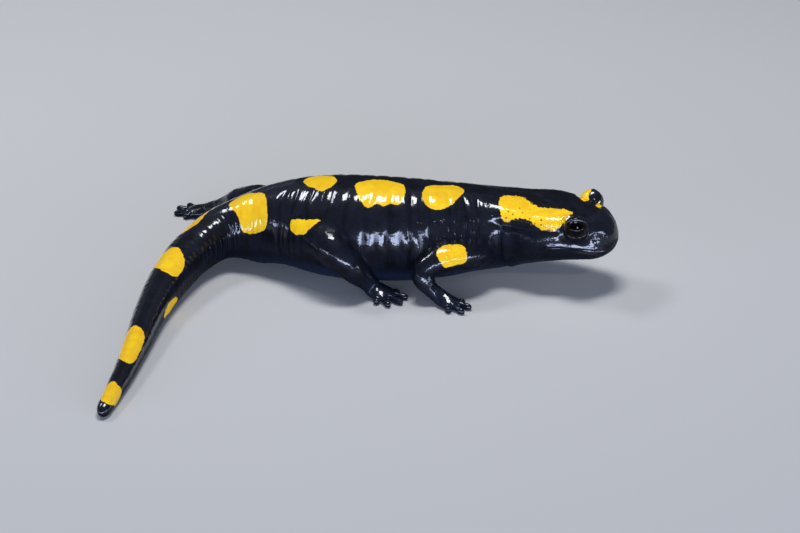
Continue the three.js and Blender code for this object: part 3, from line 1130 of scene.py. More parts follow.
@dataclass(frozen=True)
class Leg:
    """A leg from inside the body to the wrist or ankle, with its foot."""

    name: str
    places: tuple[Four, ...]  # x, y, z and radius
    joints: Two  # distances of elbow and wrist, or knee and ankle
    foot: Foot
    sides: int = 40
    step: float = 0.4
    blend: float = 3.2
    crease_gap: float = 0.9
    crease_depth: float = 0.13
    crease_width: float = 0.24
    cap_bends: tuple[float, ...] = (25.0, 50.0, 70.0)

    @cached_property
    def track(self) -> Track:
        """The leg's axis with its radius."""
        return Track(self.places)

    @cached_property
    def bend_axis(self) -> Array:
        """Direction square to the plane in which the leg bends."""
        rows = self.track.rows[:, :3]
        axis = np.cross(rows[-3] - rows[1], rows[-1] - rows[1])
        return axis / np.linalg.norm(axis)

    def locate(self, points: Array) -> tuple[Array, Array, Array]:
        """Distance along the leg, angle round it in degrees, and height above it, of points.

        Args:
            points: Places, in millimetres.

        Returns:
            The distances, the angles and the heights.
        """
        distance = self.track.nearest(points, 3)
        values, across, third = limb_frames(self.track, self.bend_axis, distance)
        offset = points - values[:, :3]
        angle = np.arctan2(np.sum(offset * third, axis=1), np.sum(offset * across, axis=1))
        return distance, np.degrees(angle), np.linalg.norm(offset, axis=1) - values[:, 3]

    def build(self) -> list[Part]:
        """The leg's tube with a round end, its palm and its digits.

        Returns:
            The shells of tube, palm and digits.
        """
        end_radius = self.places[-1][3]
        marks = np.linspace(0.0, self.track.length, round(self.track.length / self.step) + 1)
        rings = limb_rings(self.track, self.bend_axis, marks, self.sides, np.ones(len(marks)))
        values, slopes = self.track.sample(np.array([self.track.length]))
        ahead = slopes[0, :3] / np.linalg.norm(slopes[0, :3])
        bend = np.radians(self.cap_bends)[:, None, None]
        middle = values[0, :3]
        caps = middle + (rings[-1] - middle) * np.cos(bend) + ahead * end_radius * np.sin(bend)
        lift_to_floor(caps)
        tip = middle + ahead * end_radius
        lift_to_floor(tip)
        points, faces = closed_tube(np.concatenate([rings, caps]), rings[0].mean(axis=0), tip)
        tube = Part(f"{self.name}_tube", points, faces, limb_clearance(self.track), self.blend)
        wrist = self.track.rows[-1, :3]
        return [tube, self.foot.palm_part(self.name, wrist), *self.foot.digit_parts(self.name, wrist)]

    def relief(self, points: Array) -> Array:
        """Three creases round each joint, with full muscle above and below the first one.

        Args:
            points: Places, in millimetres.

        Returns:
            One height for each point, in millimetres.
        """
        distance, _, clearance = self.locate(points)
        total = np.zeros(len(points))
        for joint in self.joints:
            for offset in (-self.crease_gap, 0.0, self.crease_gap):
                total -= self.crease_depth * bell(distance, joint + offset, self.crease_width)
        first = self.joints[0]
        total += 0.16 * bell(distance, first - 3.6, 2.0)
        total += 0.14 * bell(distance, first + 2.6, 1.4)
        on_leg = fall(clearance, 0.4, 1.0) * smooth(distance, first - 8.0, first - 4.0)
        return total * on_leg


HAND_LENGTHS = (0.72, 1.0, 0.98, 0.7)
FOOT_LENGTHS = (0.66, 0.92, 1.0, 0.95, 0.68)
PALM = (2.5, 2.1, 1.2)
SOLE = (2.9, 2.5, 1.3)

LEGS = (
    Leg("right_front", (
        (16.5, -1.0, 7.0, 2.8), (15.6, -7.5, 7.2, 2.7), (8.2, -11.6, 7.5, 2.4),
        (5.3, -12.9, 5.6, 2.1), (6.5, -13.9, 3.3, 1.7), (8.9, -14.8, 1.6, 1.35),
    ), (17.4, 23.0), Foot(-38.0, PALM, 5.6, HAND_LENGTHS, 84.0)),
    Leg("left_front", (
        (15.5, 4.0, 7.0, 2.8), (16.0, 9.8, 7.0, 2.7), (14.2, 15.8, 7.4, 2.4),
        (13.8, 18.2, 5.6, 2.1), (15.3, 19.4, 3.3, 1.7), (17.9, 20.4, 1.6, 1.35),
    ), (13.6, 19.2), Foot(28.0, PALM, 5.6, HAND_LENGTHS, 84.0)),
    Leg("right_hind", (
        (-17.5, 1.0, 9.4, 3.6), (-14.8, -7.2, 10.6, 3.5), (-9.9, -12.3, 8.0, 2.7),
        (-6.8, -11.8, 4.5, 2.1), (-4.2, -10.6, 1.7, 1.5),
    ), (16.4, 22.6), Foot(-42.0, SOLE, 6.4, FOOT_LENGTHS, 104.0)),
    Leg("left_hind", (
        (-19.5, 6.0, 9.0, 3.6), (-23.4, 13.2, 8.7, 3.3), (-30.8, 19.8, 7.2, 2.7),
        (-35.4, 23.9, 4.0, 2.0), (-39.6, 27.0, 1.7, 1.4),
    ), (18.4, 26.6), Foot(152.0, SOLE, 6.4, FOOT_LENGTHS, 104.0)),
)


# ------------------------------------------------------------------ eyes and lids


@dataclass(frozen=True)
class Eye:
    """An eyeball in its socket, with the thick lids that ring it."""

    side: Side
    body: BodyTube
    distance: float = 6.85
    outward_share: float = 0.87
    upward_share: float = 0.40
    forward_share: float = 0.28
    opening: Two = (2.22, 1.7)  # half width, half height
    root_angle: float = 132.0
    root_reach: float = 3.0
    around: int = 112
    lid_rings: int = 48
    ball_rings: int = 71
    ball_sides: int = 108
    lid_depth: float = 0.6
    cornea_rise: float = 0.03
    flat_spot: Three = (0.15, 0.13, 0.14)  # up, ahead and half width, in radians
    profile: tuple[Two, ...] = (
        (-0.34, -0.45), (-0.1, -0.1), (0.0, 0.04), (0.1, 0.13), (0.26, 0.13), (0.44, 0.12),
        (0.75, 0.2), (1.1, 0.27), (1.6, 0.3), (2.2, 0.3), (3.0, 0.15),
    )

    @property
    def node(self) -> str:
        """Name of the eye's CAD node."""
        return f"{self.side.name.lower()}_eye"

    @cached_property
    def box(self) -> tuple[Array, Array]:
        """The CAD eye's lowest and highest corner, in millimetres."""
        low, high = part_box(self.node)
        return np.array(low) / MM, np.array(high) / MM

    @property
    def centre(self) -> Array:
        """Middle of the eyeball."""
        low, high = self.box
        return (low + high) / 2

    @property
    def radius(self) -> float:
        """Radius of the eyeball, from the height of the CAD eye, which ends in points."""
        low, high = self.box
        return float(high[2] - low[2]) / 2

    @cached_property
    def axes(self) -> Array:
        """Rows: upwards along the lids, aside, and out of the head through the pupil."""
        slopes = self.body.track.sample(np.array([self.distance]))[1][0]
        back = np.array([slopes[0], slopes[1], 0.0]) / math.hypot(slopes[0], slopes[1])
        right = np.array([-back[1], back[0], 0.0])
        top = np.array([0.0, 0.0, 1.0])
        out = right * self.outward_share * self.side.value + top * self.upward_share
        out = out - back * self.forward_share
        out /= np.linalg.norm(out)
        above = top - out * (top @ out)
        above /= np.linalg.norm(above)
        return np.stack([above, np.cross(out, above), out])

    def turned(self, profile: Array, turn: Array) -> Array:
        """Carries a profile of radius and height round the eye's axis, one ring for each row.

        Args:
            profile: Radius and height for each ring.
            turn: Angles round the axis, in radians.

        Returns:
            Places, in millimetres.
        """
        rho, height = profile[..., 0], profile[..., 1]
        local = np.stack([rho * np.cos(turn), rho * np.sin(turn), height + 0 * turn], axis=-1)
        return self.centre + local @ self.axes

    def lid_part(self) -> Part:
        """The lids: a thin margin, a groove and a thick fold, laid over the eyeball.

        The profile gives the thickness over the ball against the way from the edge of the
        opening to the root of the lids. Seen along the eye's axis, the edge is an ellipse wider
        than high. The upper lid is thicker, and slow waves keep the margin from being even.

        Returns:
            The shell of the lids.
        """
        stops = Track([(way, thick, 0.0) for way, thick in self.profile])
        share = np.linspace(0.0, 1.0, self.lid_rings)
        marks = stops.length * (share + 0.12 * np.sin(2 * math.pi * share) / (2 * math.pi))
        rows = stops.sample(marks)[0]
        way, thick = rows[:, 0, None], rows[:, 1, None]
        turn = np.arange(self.around)[None, :] * 2 * math.pi / self.around
        wide, high = self.opening
        rho = wide * high / np.hypot(wide * np.cos(turn), high * np.sin(turn))
        edge = np.degrees(np.arcsin(rho / self.radius))
        angle = np.radians(edge + (self.root_angle - edge) * way / self.root_reach)
        upper = (0.5 + 0.5 * np.cos(turn)) ** 2
        uneven = 0.02 * np.sin(3.0 * turn + 0.8) + 0.015 * np.sin(7.0 * turn + 2.0)
        distance = self.radius + thick + (0.2 * upper + uneven) * bell(way, 0.5, 0.7)
        profile = np.stack([distance * np.sin(angle), distance * np.cos(angle)], axis=-1)
        rings = self.turned(profile, turn)
        ends = [self.centre + self.axes[2] * h for h in (self.lid_depth, -0.8 * self.radius)]
        points, faces = closed_tube(rings, ends[0], ends[1])
        lid_centre = self.centre - self.axes[2] * self.lid_depth
        reach = self.radius + self.lid_depth

        def clearance(places: Array) -> Array:
            """Height above the ball that the lids follow."""
            return np.linalg.norm(places - lid_centre, axis=1) - reach

        return Part(f"{self.side.name.lower()}_lids", points, faces, clearance, 1.1)

    def ball(self) -> tuple[Array, Array, Array]:
        """The eyeball, its cornea a little steeper than the rest, with one flatter spot.

        The radius falls by half the square of the spot's width, times a bell of the angle from
        the spot, which takes away the curvature there.

        Returns:
            Points, triangles, and each point's angle from the middle of the pupil in degrees.
        """
        tilt = np.linspace(0.0, math.pi, self.ball_rings + 2)[1:-1, None]
        turn = np.arange(self.ball_sides)[None, :] * 2 * math.pi / self.ball_sides
        up, ahead, width = self.flat_spot
        aside = -ahead * self.side.value
        from_spot = np.hypot(tilt * np.cos(turn) - up, tilt * np.sin(turn) - aside)
        cornea = self.cornea_rise * bell(tilt, 0.0, 0.75)
        radius = self.radius * (1.0 + cornea - 0.5 * width**2 * bell(from_spot, 0.0, width))
        profile = np.stack([radius * np.sin(tilt), radius * np.cos(tilt)], axis=-1)
        rings = self.turned(profile, turn)
        front = self.centre + self.axes[2] * self.radius * (1.0 + self.cornea_rise)
        points, faces = closed_tube(rings, front, self.centre - self.axes[2] * self.radius)
        offset = points - self.centre
        cosine = offset @ self.axes[2] / np.linalg.norm(offset, axis=1)
        return points, faces, np.degrees(np.arccos(np.clip(cosine, -1.0, 1.0)))


# ------------------------------------------------------------------ markings


@dataclass(frozen=True)
class Blotch:
    """A yellow marking: a smooth closed line through corners of distance and angle."""

    corners: tuple[Two, ...]
    ground: Ground = Ground.BODY
    reach: float = 2.4  # how high above the tube it still colours the skin

    def outline(self, steps: int = 6) -> Array:
        """The closed line: each stretch is a cubic through its ends, with slopes from neighbours.

        Args:
            steps: Points on each stretch.

        Returns:
            Distance and angle of each point.
        """
        p1 = np.array(self.corners)
        p0, p2, p3 = np.roll(p1, 1, axis=0), np.roll(p1, -1, axis=0), np.roll(p1, -2, axis=0)
        t = (np.arange(steps) / steps)[None, :, None]
        a, b, c, d = (p[:, None, :] for p in (p0, p1, p2, p3))
        curve = 2 * b + (c - a) * t + (2 * a - 5 * b + 4 * c - d) * t**2
        curve += (3 * b - a - 3 * c + d) * t**3
        return 0.5 * curve.reshape(-1, 2)

    def depth(self, distance: Array, angle: Array, radius: float) -> Array:
        """Distance inside the outline, in millimetres, negative outside.

        The nearest stretch of the outline gives the distance, and the number of stretches to
        one side, odd or even, tells inside from outside.

        Args:
            distance: Each point's distance along the surface.
            angle: Each point's angle round it, in degrees.
            radius: Radius by which an angle becomes a length.

        Returns:
            One depth for each point.
        """
        line = self.outline()
        middle = (line[:, 1].min() + line[:, 1].max()) / 2
        around = np.radians(np.mod(angle - middle + 180.0, 360.0) - 180.0) * radius
        px, py = distance[:, None], around[:, None]
        ax, ay = line[:, 0][None, :], np.radians(line[:, 1] - middle)[None, :] * radius
        bx, by = np.roll(ax, -1, axis=1), np.roll(ay, -1, axis=1)
        ex, ey = bx - ax, by - ay
        share = ((px - ax) * ex + (py - ay) * ey) / np.maximum(ex**2 + ey**2, 1e-9)
        share = np.clip(share, 0.0, 1.0)
        gap = np.hypot(px - ax - share * ex, py - ay - share * ey).min(axis=1)
        crosses = (ay > py) != (by > py)
        beyond = px < ax + (py - ay) * ex / np.where(np.abs(ey) < 1e-9, 1e-9, ey)
        inside = np.sum(crosses & beyond, axis=1) % 2 == 1
        return np.where(inside, gap, -gap)


BLOTCHES = (
    # right gland and cheek
    Blotch((
        (24.2, 30.0), (24.0, 12.0), (22.2, 5.0), (19.4, 3.0), (16.8, 14.0), (14.9, 18.0),
        (12.0, 15.0), (8.3, 15.0), (8.8, 30.0), (9.2, 44.0), (10.4, 60.0), (11.8, 60.0),
        (13.7, 59.0), (16.2, 50.0), (18.3, 49.0), (21.7, 57.0), (23.1, 54.0),
    )),
    # left gland and cheek
    Blotch((
        (23.6, -42.0), (19.9, -38.0), (14.9, -46.0), (12.4, -45.0), (10.2, -38.0), (9.0, -27.0),
        (7.9, -19.0), (7.2, -22.0), (7.1, -38.0), (7.9, -54.0), (9.6, -62.0), (13.3, -66.0),
        (17.9, -62.0), (22.8, -64.0),
    ), reach=4.0),
    # left brow
    Blotch((
        (5.2, -20.0), (4.7, -17.0), (4.1, -20.0), (4.2, -32.0), (4.8, -38.0), (5.2, -32.0),
    ), reach=0.8),
    # right shoulder
    Blotch((
        (40.0, 15.0), (38.5, 3.0), (35.9, 0.0), (32.9, -2.0), (31.7, 11.0), (34.1, 30.0),
        (36.3, 41.0), (37.9, 44.0), (39.8, 38.0), (40.4, 26.0),
    )),
    # middle of the back, right
    Blotch((
        (52.5, 12.0), (51.9, 3.0), (49.1, -3.0), (45.5, -1.0), (43.5, 7.0), (43.6, 25.0),
        (44.7, 38.0), (46.0, 37.0), (47.3, 41.0), (48.4, 38.0), (49.6, 43.0), (50.7, 37.0),
        (51.8, 25.0),
    )),
    # right loin
    Blotch((
        (64.0, -2.0), (61.6, -14.0), (57.6, -6.0), (56.4, 7.0), (57.0, 17.0), (58.5, 24.0),
        (60.2, 19.0), (62.1, 14.0),
    )),
    # root of the tail, right
    Blotch((
        (79.2, 0.0), (76.0, -8.0), (73.7, 5.0), (72.1, 13.0), (70.7, 31.0), (69.5, 62.0),
        (70.1, 80.0), (73.5, 86.0), (76.4, 81.0), (77.2, 66.0), (78.0, 42.0), (79.2, 19.0),
    )),
    # right hip
    Blotch((
        (62.7, 65.0), (59.2, 62.0), (57.1, 61.0), (58.2, 69.0), (59.2, 77.0), (60.9, 80.0),
        (62.4, 76.0),
    )),
    # bend of the tail, left
    Blotch((
        (79.4, -30.0), (82.8, -21.0), (85.8, -10.0), (88.3, -16.0), (89.8, -32.0),
        (88.3, -55.0), (83.8, -66.0), (80.3, -52.0),
    )),
    # tail past the bend, upper side
    Blotch((
        (95.1, -10.0), (97.0, 23.0), (98.9, 43.0), (101.8, 51.0), (104.0, 40.0), (104.0, 10.0),
        (102.5, -24.0), (100.3, -60.0), (96.8, -56.0),
    )),
    # tail past the bend, right side
    Blotch(((107.5, 86.0), (105.4, 112.0), (109.5, 122.0), (113.6, 106.0), (112.3, 79.0))),
    # middle of the tail's thin half
    Blotch((
        (123.0, -26.0), (124.0, 18.0), (125.9, 45.0), (129.8, 57.0), (134.8, 48.0),
        (135.4, 3.0), (132.2, -62.0), (126.0, -72.0),
    )),
    # end of the tail
    Blotch((
        (142.0, -16.0), (142.6, 33.0), (143.1, 92.0), (146.0, 116.0), (148.0, 70.0),
        (148.7, 20.0), (147.4, -46.0), (144.4, -84.0),
    )),
    # left shoulder
    Blotch((
        (42.2, -34.0), (40.8, -22.0), (38.2, -21.0), (35.4, -30.0), (34.6, -48.0),
        (38.2, -64.0), (41.8, -54.0),
    )),
    # middle of the back, left
    Blotch((
        (55.4, -42.0), (52.8, -32.0), (48.8, -34.0), (47.2, -48.0), (49.4, -66.0),
        (53.8, -68.0),
    )),
    # left loin
    Blotch((
        (68.8, -46.0), (66.4, -34.0), (62.2, -37.0), (61.2, -52.0), (63.8, -66.0),
        (67.8, -62.0),
    )),
    # right arm
    Blotch((
        (10.2, -4.0), (10.3, 34.0), (11.2, 50.0), (13.8, 54.0), (14.8, 34.0), (15.1, -12.0),
        (14.7, -44.0), (13.4, -50.0), (11.1, -45.0), (10.3, -30.0),
    ), Ground.RIGHT_ARM),
    # left arm
    Blotch((
        (8.0, 120.0), (8.4, 172.0), (11.0, 196.0), (13.2, 168.0), (12.8, 116.0), (10.4, 100.0),
    ), Ground.LEFT_ARM),
    # left thigh
    Blotch((
        (9.0, 127.0), (9.6, 167.0), (12.0, 191.0), (14.8, 175.0), (15.0, 133.0), (12.0, 109.0),
    ), Ground.LEFT_THIGH),
)


# ------------------------------------------------------------------ meshes in the scene


def mesh_object(name: str, points: Array, faces: Array, scale: float = MM) -> bpy.types.Object:
    """A smooth-shaded mesh object at the origin, from points in millimetres and triangles.

    Args:
        name: Name of the object.
        points: Places, in millimetres.
        faces: Triangles between them.
        scale: Metres in one unit of the points.

    Returns:
        The new object.
    """
    mesh = bpy.data.meshes.new(name)
    mesh.from_pydata((points * scale).tolist(), [], faces.tolist())
    mesh.shade_smooth()
    made = bpy.data.objects.new(name, mesh)
    bpy.context.scene.collection.objects.link(made)
    return made


def add_attribute(piece: bpy.types.Object, name: str, values: Array) -> None:
    """Stores a number, or a row of three, for each point of a mesh.

    Args:
        piece: The mesh object.
        name: Name of the attribute.
        values: One number or one row for each point.
    """
    if values.ndim == 1:
        layer = piece.data.attributes.new(name, "FLOAT", "POINT")
        layer.data.foreach_set("value", values.astype(np.float32))
    else:
        layer = piece.data.attributes.new(name, "FLOAT_VECTOR", "POINT")
        layer.data.foreach_set("vector", values.astype(np.float32).ravel())


def joined(parts: Sequence[Part]) -> tuple[Array, Array]:
    """One closed shell round all parts, from a Boolean union of their meshes.

    Args:
        parts: Closed shells that overlap. The first one is the body.

    Returns:
        Points in millimetres and triangles.
    """
    objects = [mesh_object(part.name, part.points, part.faces, scale=1.0) for part in parts]
    for other in objects[1:]:
        modifier = objects[0].modifiers.new(other.name, "BOOLEAN")
        modifier.operation = "UNION"
        modifier.solver = "MANIFOLD"
        modifier.object = other
    depsgraph = bpy.context.evaluated_depsgraph_get()
    work = bmesh.new()
    work.from_mesh(bpy.data.meshes.new_from_object(objects[0].evaluated_get(depsgraph)))
    bmesh.ops.triangulate(work, faces=work.faces)
    bmesh.ops.remove_doubles(work, verts=work.verts, dist=WELD)
    open_edges = sum(not edge.is_manifold for edge in work.edges)
    mesh = bpy.data.meshes.new("union")
    work.to_mesh(mesh)
    work.free()
    points = np.empty(len(mesh.vertices) * 3)
    mesh.vertices.foreach_get("co", points)
    faces = np.empty(len(mesh.polygons) * 3, dtype=np.int32)
    mesh.polygons.foreach_get("vertices", faces)
    for used in objects:
        bpy.data.objects.remove(used)
    log.info("union of %d parts: %d triangles, %d open edges", len(parts), len(faces) // 3, open_edges)
    return points.reshape(-1, 3), faces.reshape(-1, 3).astype(np.int64)


# ------------------------------------------------------------------ the skin


@dataclass(frozen=True)
class Skin:
    """The one skin over head, trunk, tail and legs."""

    body: BodyTube
    legs: tuple[Leg, ...]
    eyes: tuple[Eye, ...]
    nodes: tuple[str, ...]
    crease_rounds: int = 14
    ripple: float = 0.05
    ripple_size: float = 1.7
    goose: float = 0.016
    goose_size: float = 0.62
    marking_reach: float = 3.0
    leg_marking_depth: float = 0.4  # how deep inside the body a leg's marking still counts
    pore_ring: Two = (0.13, 3.0)  # black round a pore: radius, steepness
    trunk: TrunkForm = TrunkForm()
    tail: TailForm = TailForm()

    @cached_property
    def head(self) -> HeadForm:
        """The forms of the head, laid out on the body."""
        return HeadForm(self.body)

    def parts(self) -> list[Part]:
        """All shells, each swollen a little towards those it meets.

        Returns:
            The shells.
        """
        body = self.body.build()
        lids = [eye.lid_part() for eye in self.eyes]
        limbs = [leg.build() for leg in self.legs]
        body.swell_towards([limb[0] for limb in limbs] + lids)
        for limb in limbs:
            for part in limb:
                part.swell_towards([other for other in limb if other is not part])
            limb[0].swell_towards([body])
        return [body, *lids, *itertools.chain.from_iterable(limbs)]

    def crease_weight(self, points: Array, parts: Sequence[Part]) -> Array:
        """How much each point is smoothed: 1 where two parts meet, 0 where only one is near.

        Args:
            points: Places, in millimetres.
            parts: Shells to look at.

        Returns:
            One weight for each point.
        """
        first = np.zeros(len(points))
        second = np.zeros(len(points))
        for part in parts:
            reach = part.blend
            gap = np.abs(part.clearance_near(points, reach))
            weight = fall(gap, 0.15 * reach, 0.75 * reach)
            second = np.maximum(second, np.minimum(first, weight))
            first = np.maximum(first, weight)
        return second

    def relief(self, points: Array, place: Place) -> Array:
        """Height of every fold, groove and bump of the skin over the smooth form.

        Args:
            points: Places, in millimetres.
            place: The same places against the body.

        Returns:
            One height for each point, in millimetres.
        """
        on_body = fall(place.clearance, 0.9, 1.8)
        forms = self.head.relief(points, place)
        forms += self.trunk.relief(points, place) + self.tail.relief(place)
        total = forms * on_body
        for leg in self.legs:
            total += leg.relief(points)
        bumps = self.ripple * grain(points, self.ripple_size, 3)
        bumps += self.goose * grain(points, self.goose_size, 8)
        bumps *= 1.0 - 0.75 * self.head.lip_calm(place)
        off_lids = 1.0 - self.lid_share(points, place)
        return total * off_lids + bumps * (0.1 + 0.9 * off_lids)

    def graininess(self, points: Array, place: Place) -> Array:
        """How strongly granules show: 1 on the head but for lips and lids, less on all the rest.

        Args:
            points: Places, in millimetres.
            place: The same places against the body.

        Returns:
            One share for each point.
        """
        on_head = fall(place.distance, 21.0, 27.0)
        off_body = 0.65 * smooth(place.clearance, 0.2, 1.2)
        tail = 0.6 * smooth(place.distance, 68.0, 80.0)
        strongest = np.maximum(np.maximum(on_head, off_body), np.maximum(tail, 0.35))
        lips = 0.85 * self.head.lip_calm(place)
        return strongest * (1.0 - np.maximum(lips, 0.8 * self.lid_share(points, place)))

    def raggedness(self, place: Place) -> Array:
        """How ragged the edges of markings are: 1 on the head, little on the trunk and legs."""
        on_head = fall(place.distance, 21.0, 27.0) * fall(place.clearance, 1.0, 4.0)
        return 0.22 + 0.78 * on_head

    def wetness(self, points: Array, place: Place, normals: Array, pits: Array) -> Array:
        """Share of the full film of water, which dries or runs off in places.

        It is least on glands, cheek and throat, where the skin faces straight up or down, in the
        leg pits, in grooves and inside the bend of the tail, and it lies on the legs in patches.

        Args:
            points: Places, in millimetres.
            place: The same places against the body.
            normals: Directions square to the finished skin.
            pits: How near each point is to a crease between body and leg, from 0 to 1.

        Returns:
            One share for each point.
        """
        d, turn = place.distance, place.turn
        cheek = smooth(d, 10.5, 13.0) * fall(d, 22.5, 24.5) * smooth(turn, 54.0, 62.0)
        throat = fall(d, 22.5, 24.5) * smooth(turn, 104.0, 116.0)
        gland = smooth(d, 12.2, 13.4) * fall(d, 22.0, 24.0) * smooth(turn, 16.0, 24.0)
        under = fall(normals[:, 2], -0.02, 0.24)
        level = smooth(normals[:, 2], 0.95, 0.975)
        patches = smooth(place.clearance, 0.3, 1.5) * fall(grain(points, 1.5, 61), -0.25, 0.2)
        patches *= smooth(d, 14.0, 16.0)
        bend = smooth(d, 79.0, 84.0) * fall(d, 106.0, 114.0) * bell(place.angle, 76.0, 24.0)
        valleys = self.trunk.valleys(points, place) * fall(place.clearance, 0.4, 1.2)
        dry = [0.92 * cheek, 0.8 * gland, 0.75 * throat, 0.92 * under, 0.97 * pits]
        dry += [0.75 * patches, 0.9 * bend, 0.85 * valleys, 0.9 * level]
        return 1.0 - np.max(dry, axis=0)

    def lid_share(self, points: Array, place: Place) -> Array:
        """1 on the eyelids, and 0 on the lips and past 3.6 mm from the middle of an eye.

        Args:
            points: Places, in millimetres.
            place: The same places against the body.

        Returns:
            One share for each point.
        """
        gap = np.min([np.linalg.norm(points - eye.centre, axis=1) for eye in self.eyes], axis=0)
        above = smooth(self.head.mouth_height(place), 1.0, 1.8)
        return fall(gap, 2.9, 3.6) * above

    def pale_belly_and_sky_sheen(self, place: Place) -> Array:
        """Share of the blue grey low on the body, full along the belly and little on the legs: partly
        a paler belly, partly a painted reflection of the blue sky.
        """
        off_body = smooth(place.clearance, 0.4, 2.0)
        return smooth(-place.up, 3.5, 8.5) * (1.0 - 0.75 * off_body)

    def markings(self, points: Array, place: Place) -> Array:
        """Depth inside the nearest yellow blotch, in millimetres, negative outside.

        Args:
            points: Places, in millimetres.
            place: The same places against the body.

        Returns:
            One depth for each point.
        """
        depth = np.full(len(points), -self.marking_reach)
        grounds = {leg.name: leg for leg in self.legs}
        for blotch in BLOTCHES:
            corners = np.array(blotch.corners)
            if blotch.ground is Ground.BODY:
                distance, angle, height = place.distance, place.angle, place.clearance
                values = self.body.track.sample(np.array([corners[:, 0].mean()]))[0][0]
                radius = float(values[3] + values[4]) / 2
            else:
                leg = grounds[blotch.ground.value]
                distance, angle, height = leg.locate(points)
                radius = leg.track.sample(np.array([corners[:, 0].mean()]))[0][0, 3]
            low = corners[:, 0].min() - self.marking_reach
            high = corners[:, 0].max() + self.marking_reach
            near = (distance > low) & (distance < high) & (height < blotch.reach)
            if blotch.ground is not Ground.BODY:
                near &= place.clearance > -self.leg_marking_depth
            depth[near] = np.maximum(depth[near], blotch.depth(distance[near], angle[near], radius))
        return depth

    def build(self) -> bpy.types.Object:
        """Joins the parts, rounds the creases, raises the relief and stores what finishes need.

        Returns:
            The finished skin, as one piece.
        """
        parts = self.parts()
        points, faces = joined(parts)
        points = relax(points, faces, self.crease_weight(points, parts), self.crease_rounds)
        lift_to_floor(points)
        place = self.body.locate(points)
        normals = point_normals(points, faces)
        height = self.relief(points, place)
        marking = self.markings(points, place)
        pore = self.head.pore_distance(points)
        formed = points + normals * height[:, None]
        lift_to_floor(formed)
        limbs = [part for part in parts if part.name == "body" or part.name.endswith("_tube")]
        pits = smooth(self.crease_weight(points, limbs), 0.1, 0.6)
        wetness = self.wetness(points, place, point_normals(formed, faces), pits)
        skin = mesh_object("skin", formed, faces)
        ring, steepness = self.pore_ring
        for name, values in {
            "marking": np.minimum(marking, steepness * (pore - ring)),
            "straight": np.stack([place.distance, place.side, place.up], axis=-1),
            "graininess": self.graininess(points, place),
            "raggedness": self.raggedness(place),
            "pale_belly_and_sky_sheen": self.pale_belly_and_sky_sheen(place),
            "wetness": wetness,
        }.items():
            add_attribute(skin, name, values)
        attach(skin, "root")
        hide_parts(*self.nodes)
        return skin


# ------------------------------------------------------------------ finishes


def linear(colour: str) -> Four:
    """An sRGB hex colour as linear red, green, blue and alpha.

    Args:
        colour: Six hex digits after a number sign.

    Returns:
        Four numbers from 0 to 1.
    """
    parts = [int(colour[i : i + 2], 16) / 255 for i in (1, 3, 5)]
    lit = [c / 12.92 if c <= 0.04045 else ((c + 0.055) / 1.055) ** 2.4 for c in parts]
    return (*lit, 1.0)


def per_mm(size: float) -> float:
    """Texture scale, for coordinates in metres, whose features measure some millimetres."""
    return 1.0 / (size * MM)


# Sockets of a Mix node that blends two colours, by number, as several share a name.
SHARE, FIRST, SECOND, MIXED = 0, 6, 7, 2


def set_inputs(node: bpy.types.Node, inputs: dict[str | int, object]) -> None:
    """Sets each input of a node to a value, or links it to an output of another node.

    Args:
        node: The node.
        inputs: Values or outputs by the name or number of the input.
    """
    for key, value in inputs.items():
        if isinstance(value, bpy.types.NodeSocket):
            node.id_data.links.new(value, node.inputs[key])
        else:
            node.inputs[key].default_value = value


def add_node(
    tree: bpy.types.NodeTree, kind: str, inputs: dict[str | int, object], **settings: object
) -> bpy.types.Node:
    """Adds a node, sets its properties, and sets or links its inputs.

    Args:
        tree: The material's nodes.
        kind: Type of the shader node, without its prefix.
        inputs: Values for the inputs, or outputs of other nodes to link to them.
        settings: Properties of the node and their values.

    Returns:
        The new node.
    """
    node = tree.nodes.new(f"ShaderNode{kind}")
    for name, value in settings.items():
        setattr(node, name, value)
    set_inputs(node, inputs)
    return node


def new_material(
    name: str,
) -> tuple[bpy.types.Material, Callable[..., bpy.types.Node], bpy.types.Node]:
    """A material, the function that adds a node to it, and its Principled shader.

    Args:
        name: Name of the material.

    Returns:
        The three of them.
    """
    material = bpy.data.materials.new(name)
    material.use_nodes = True
    tree = material.node_tree
    return material, partial(add_node, tree), tree.nodes["Principled BSDF"]


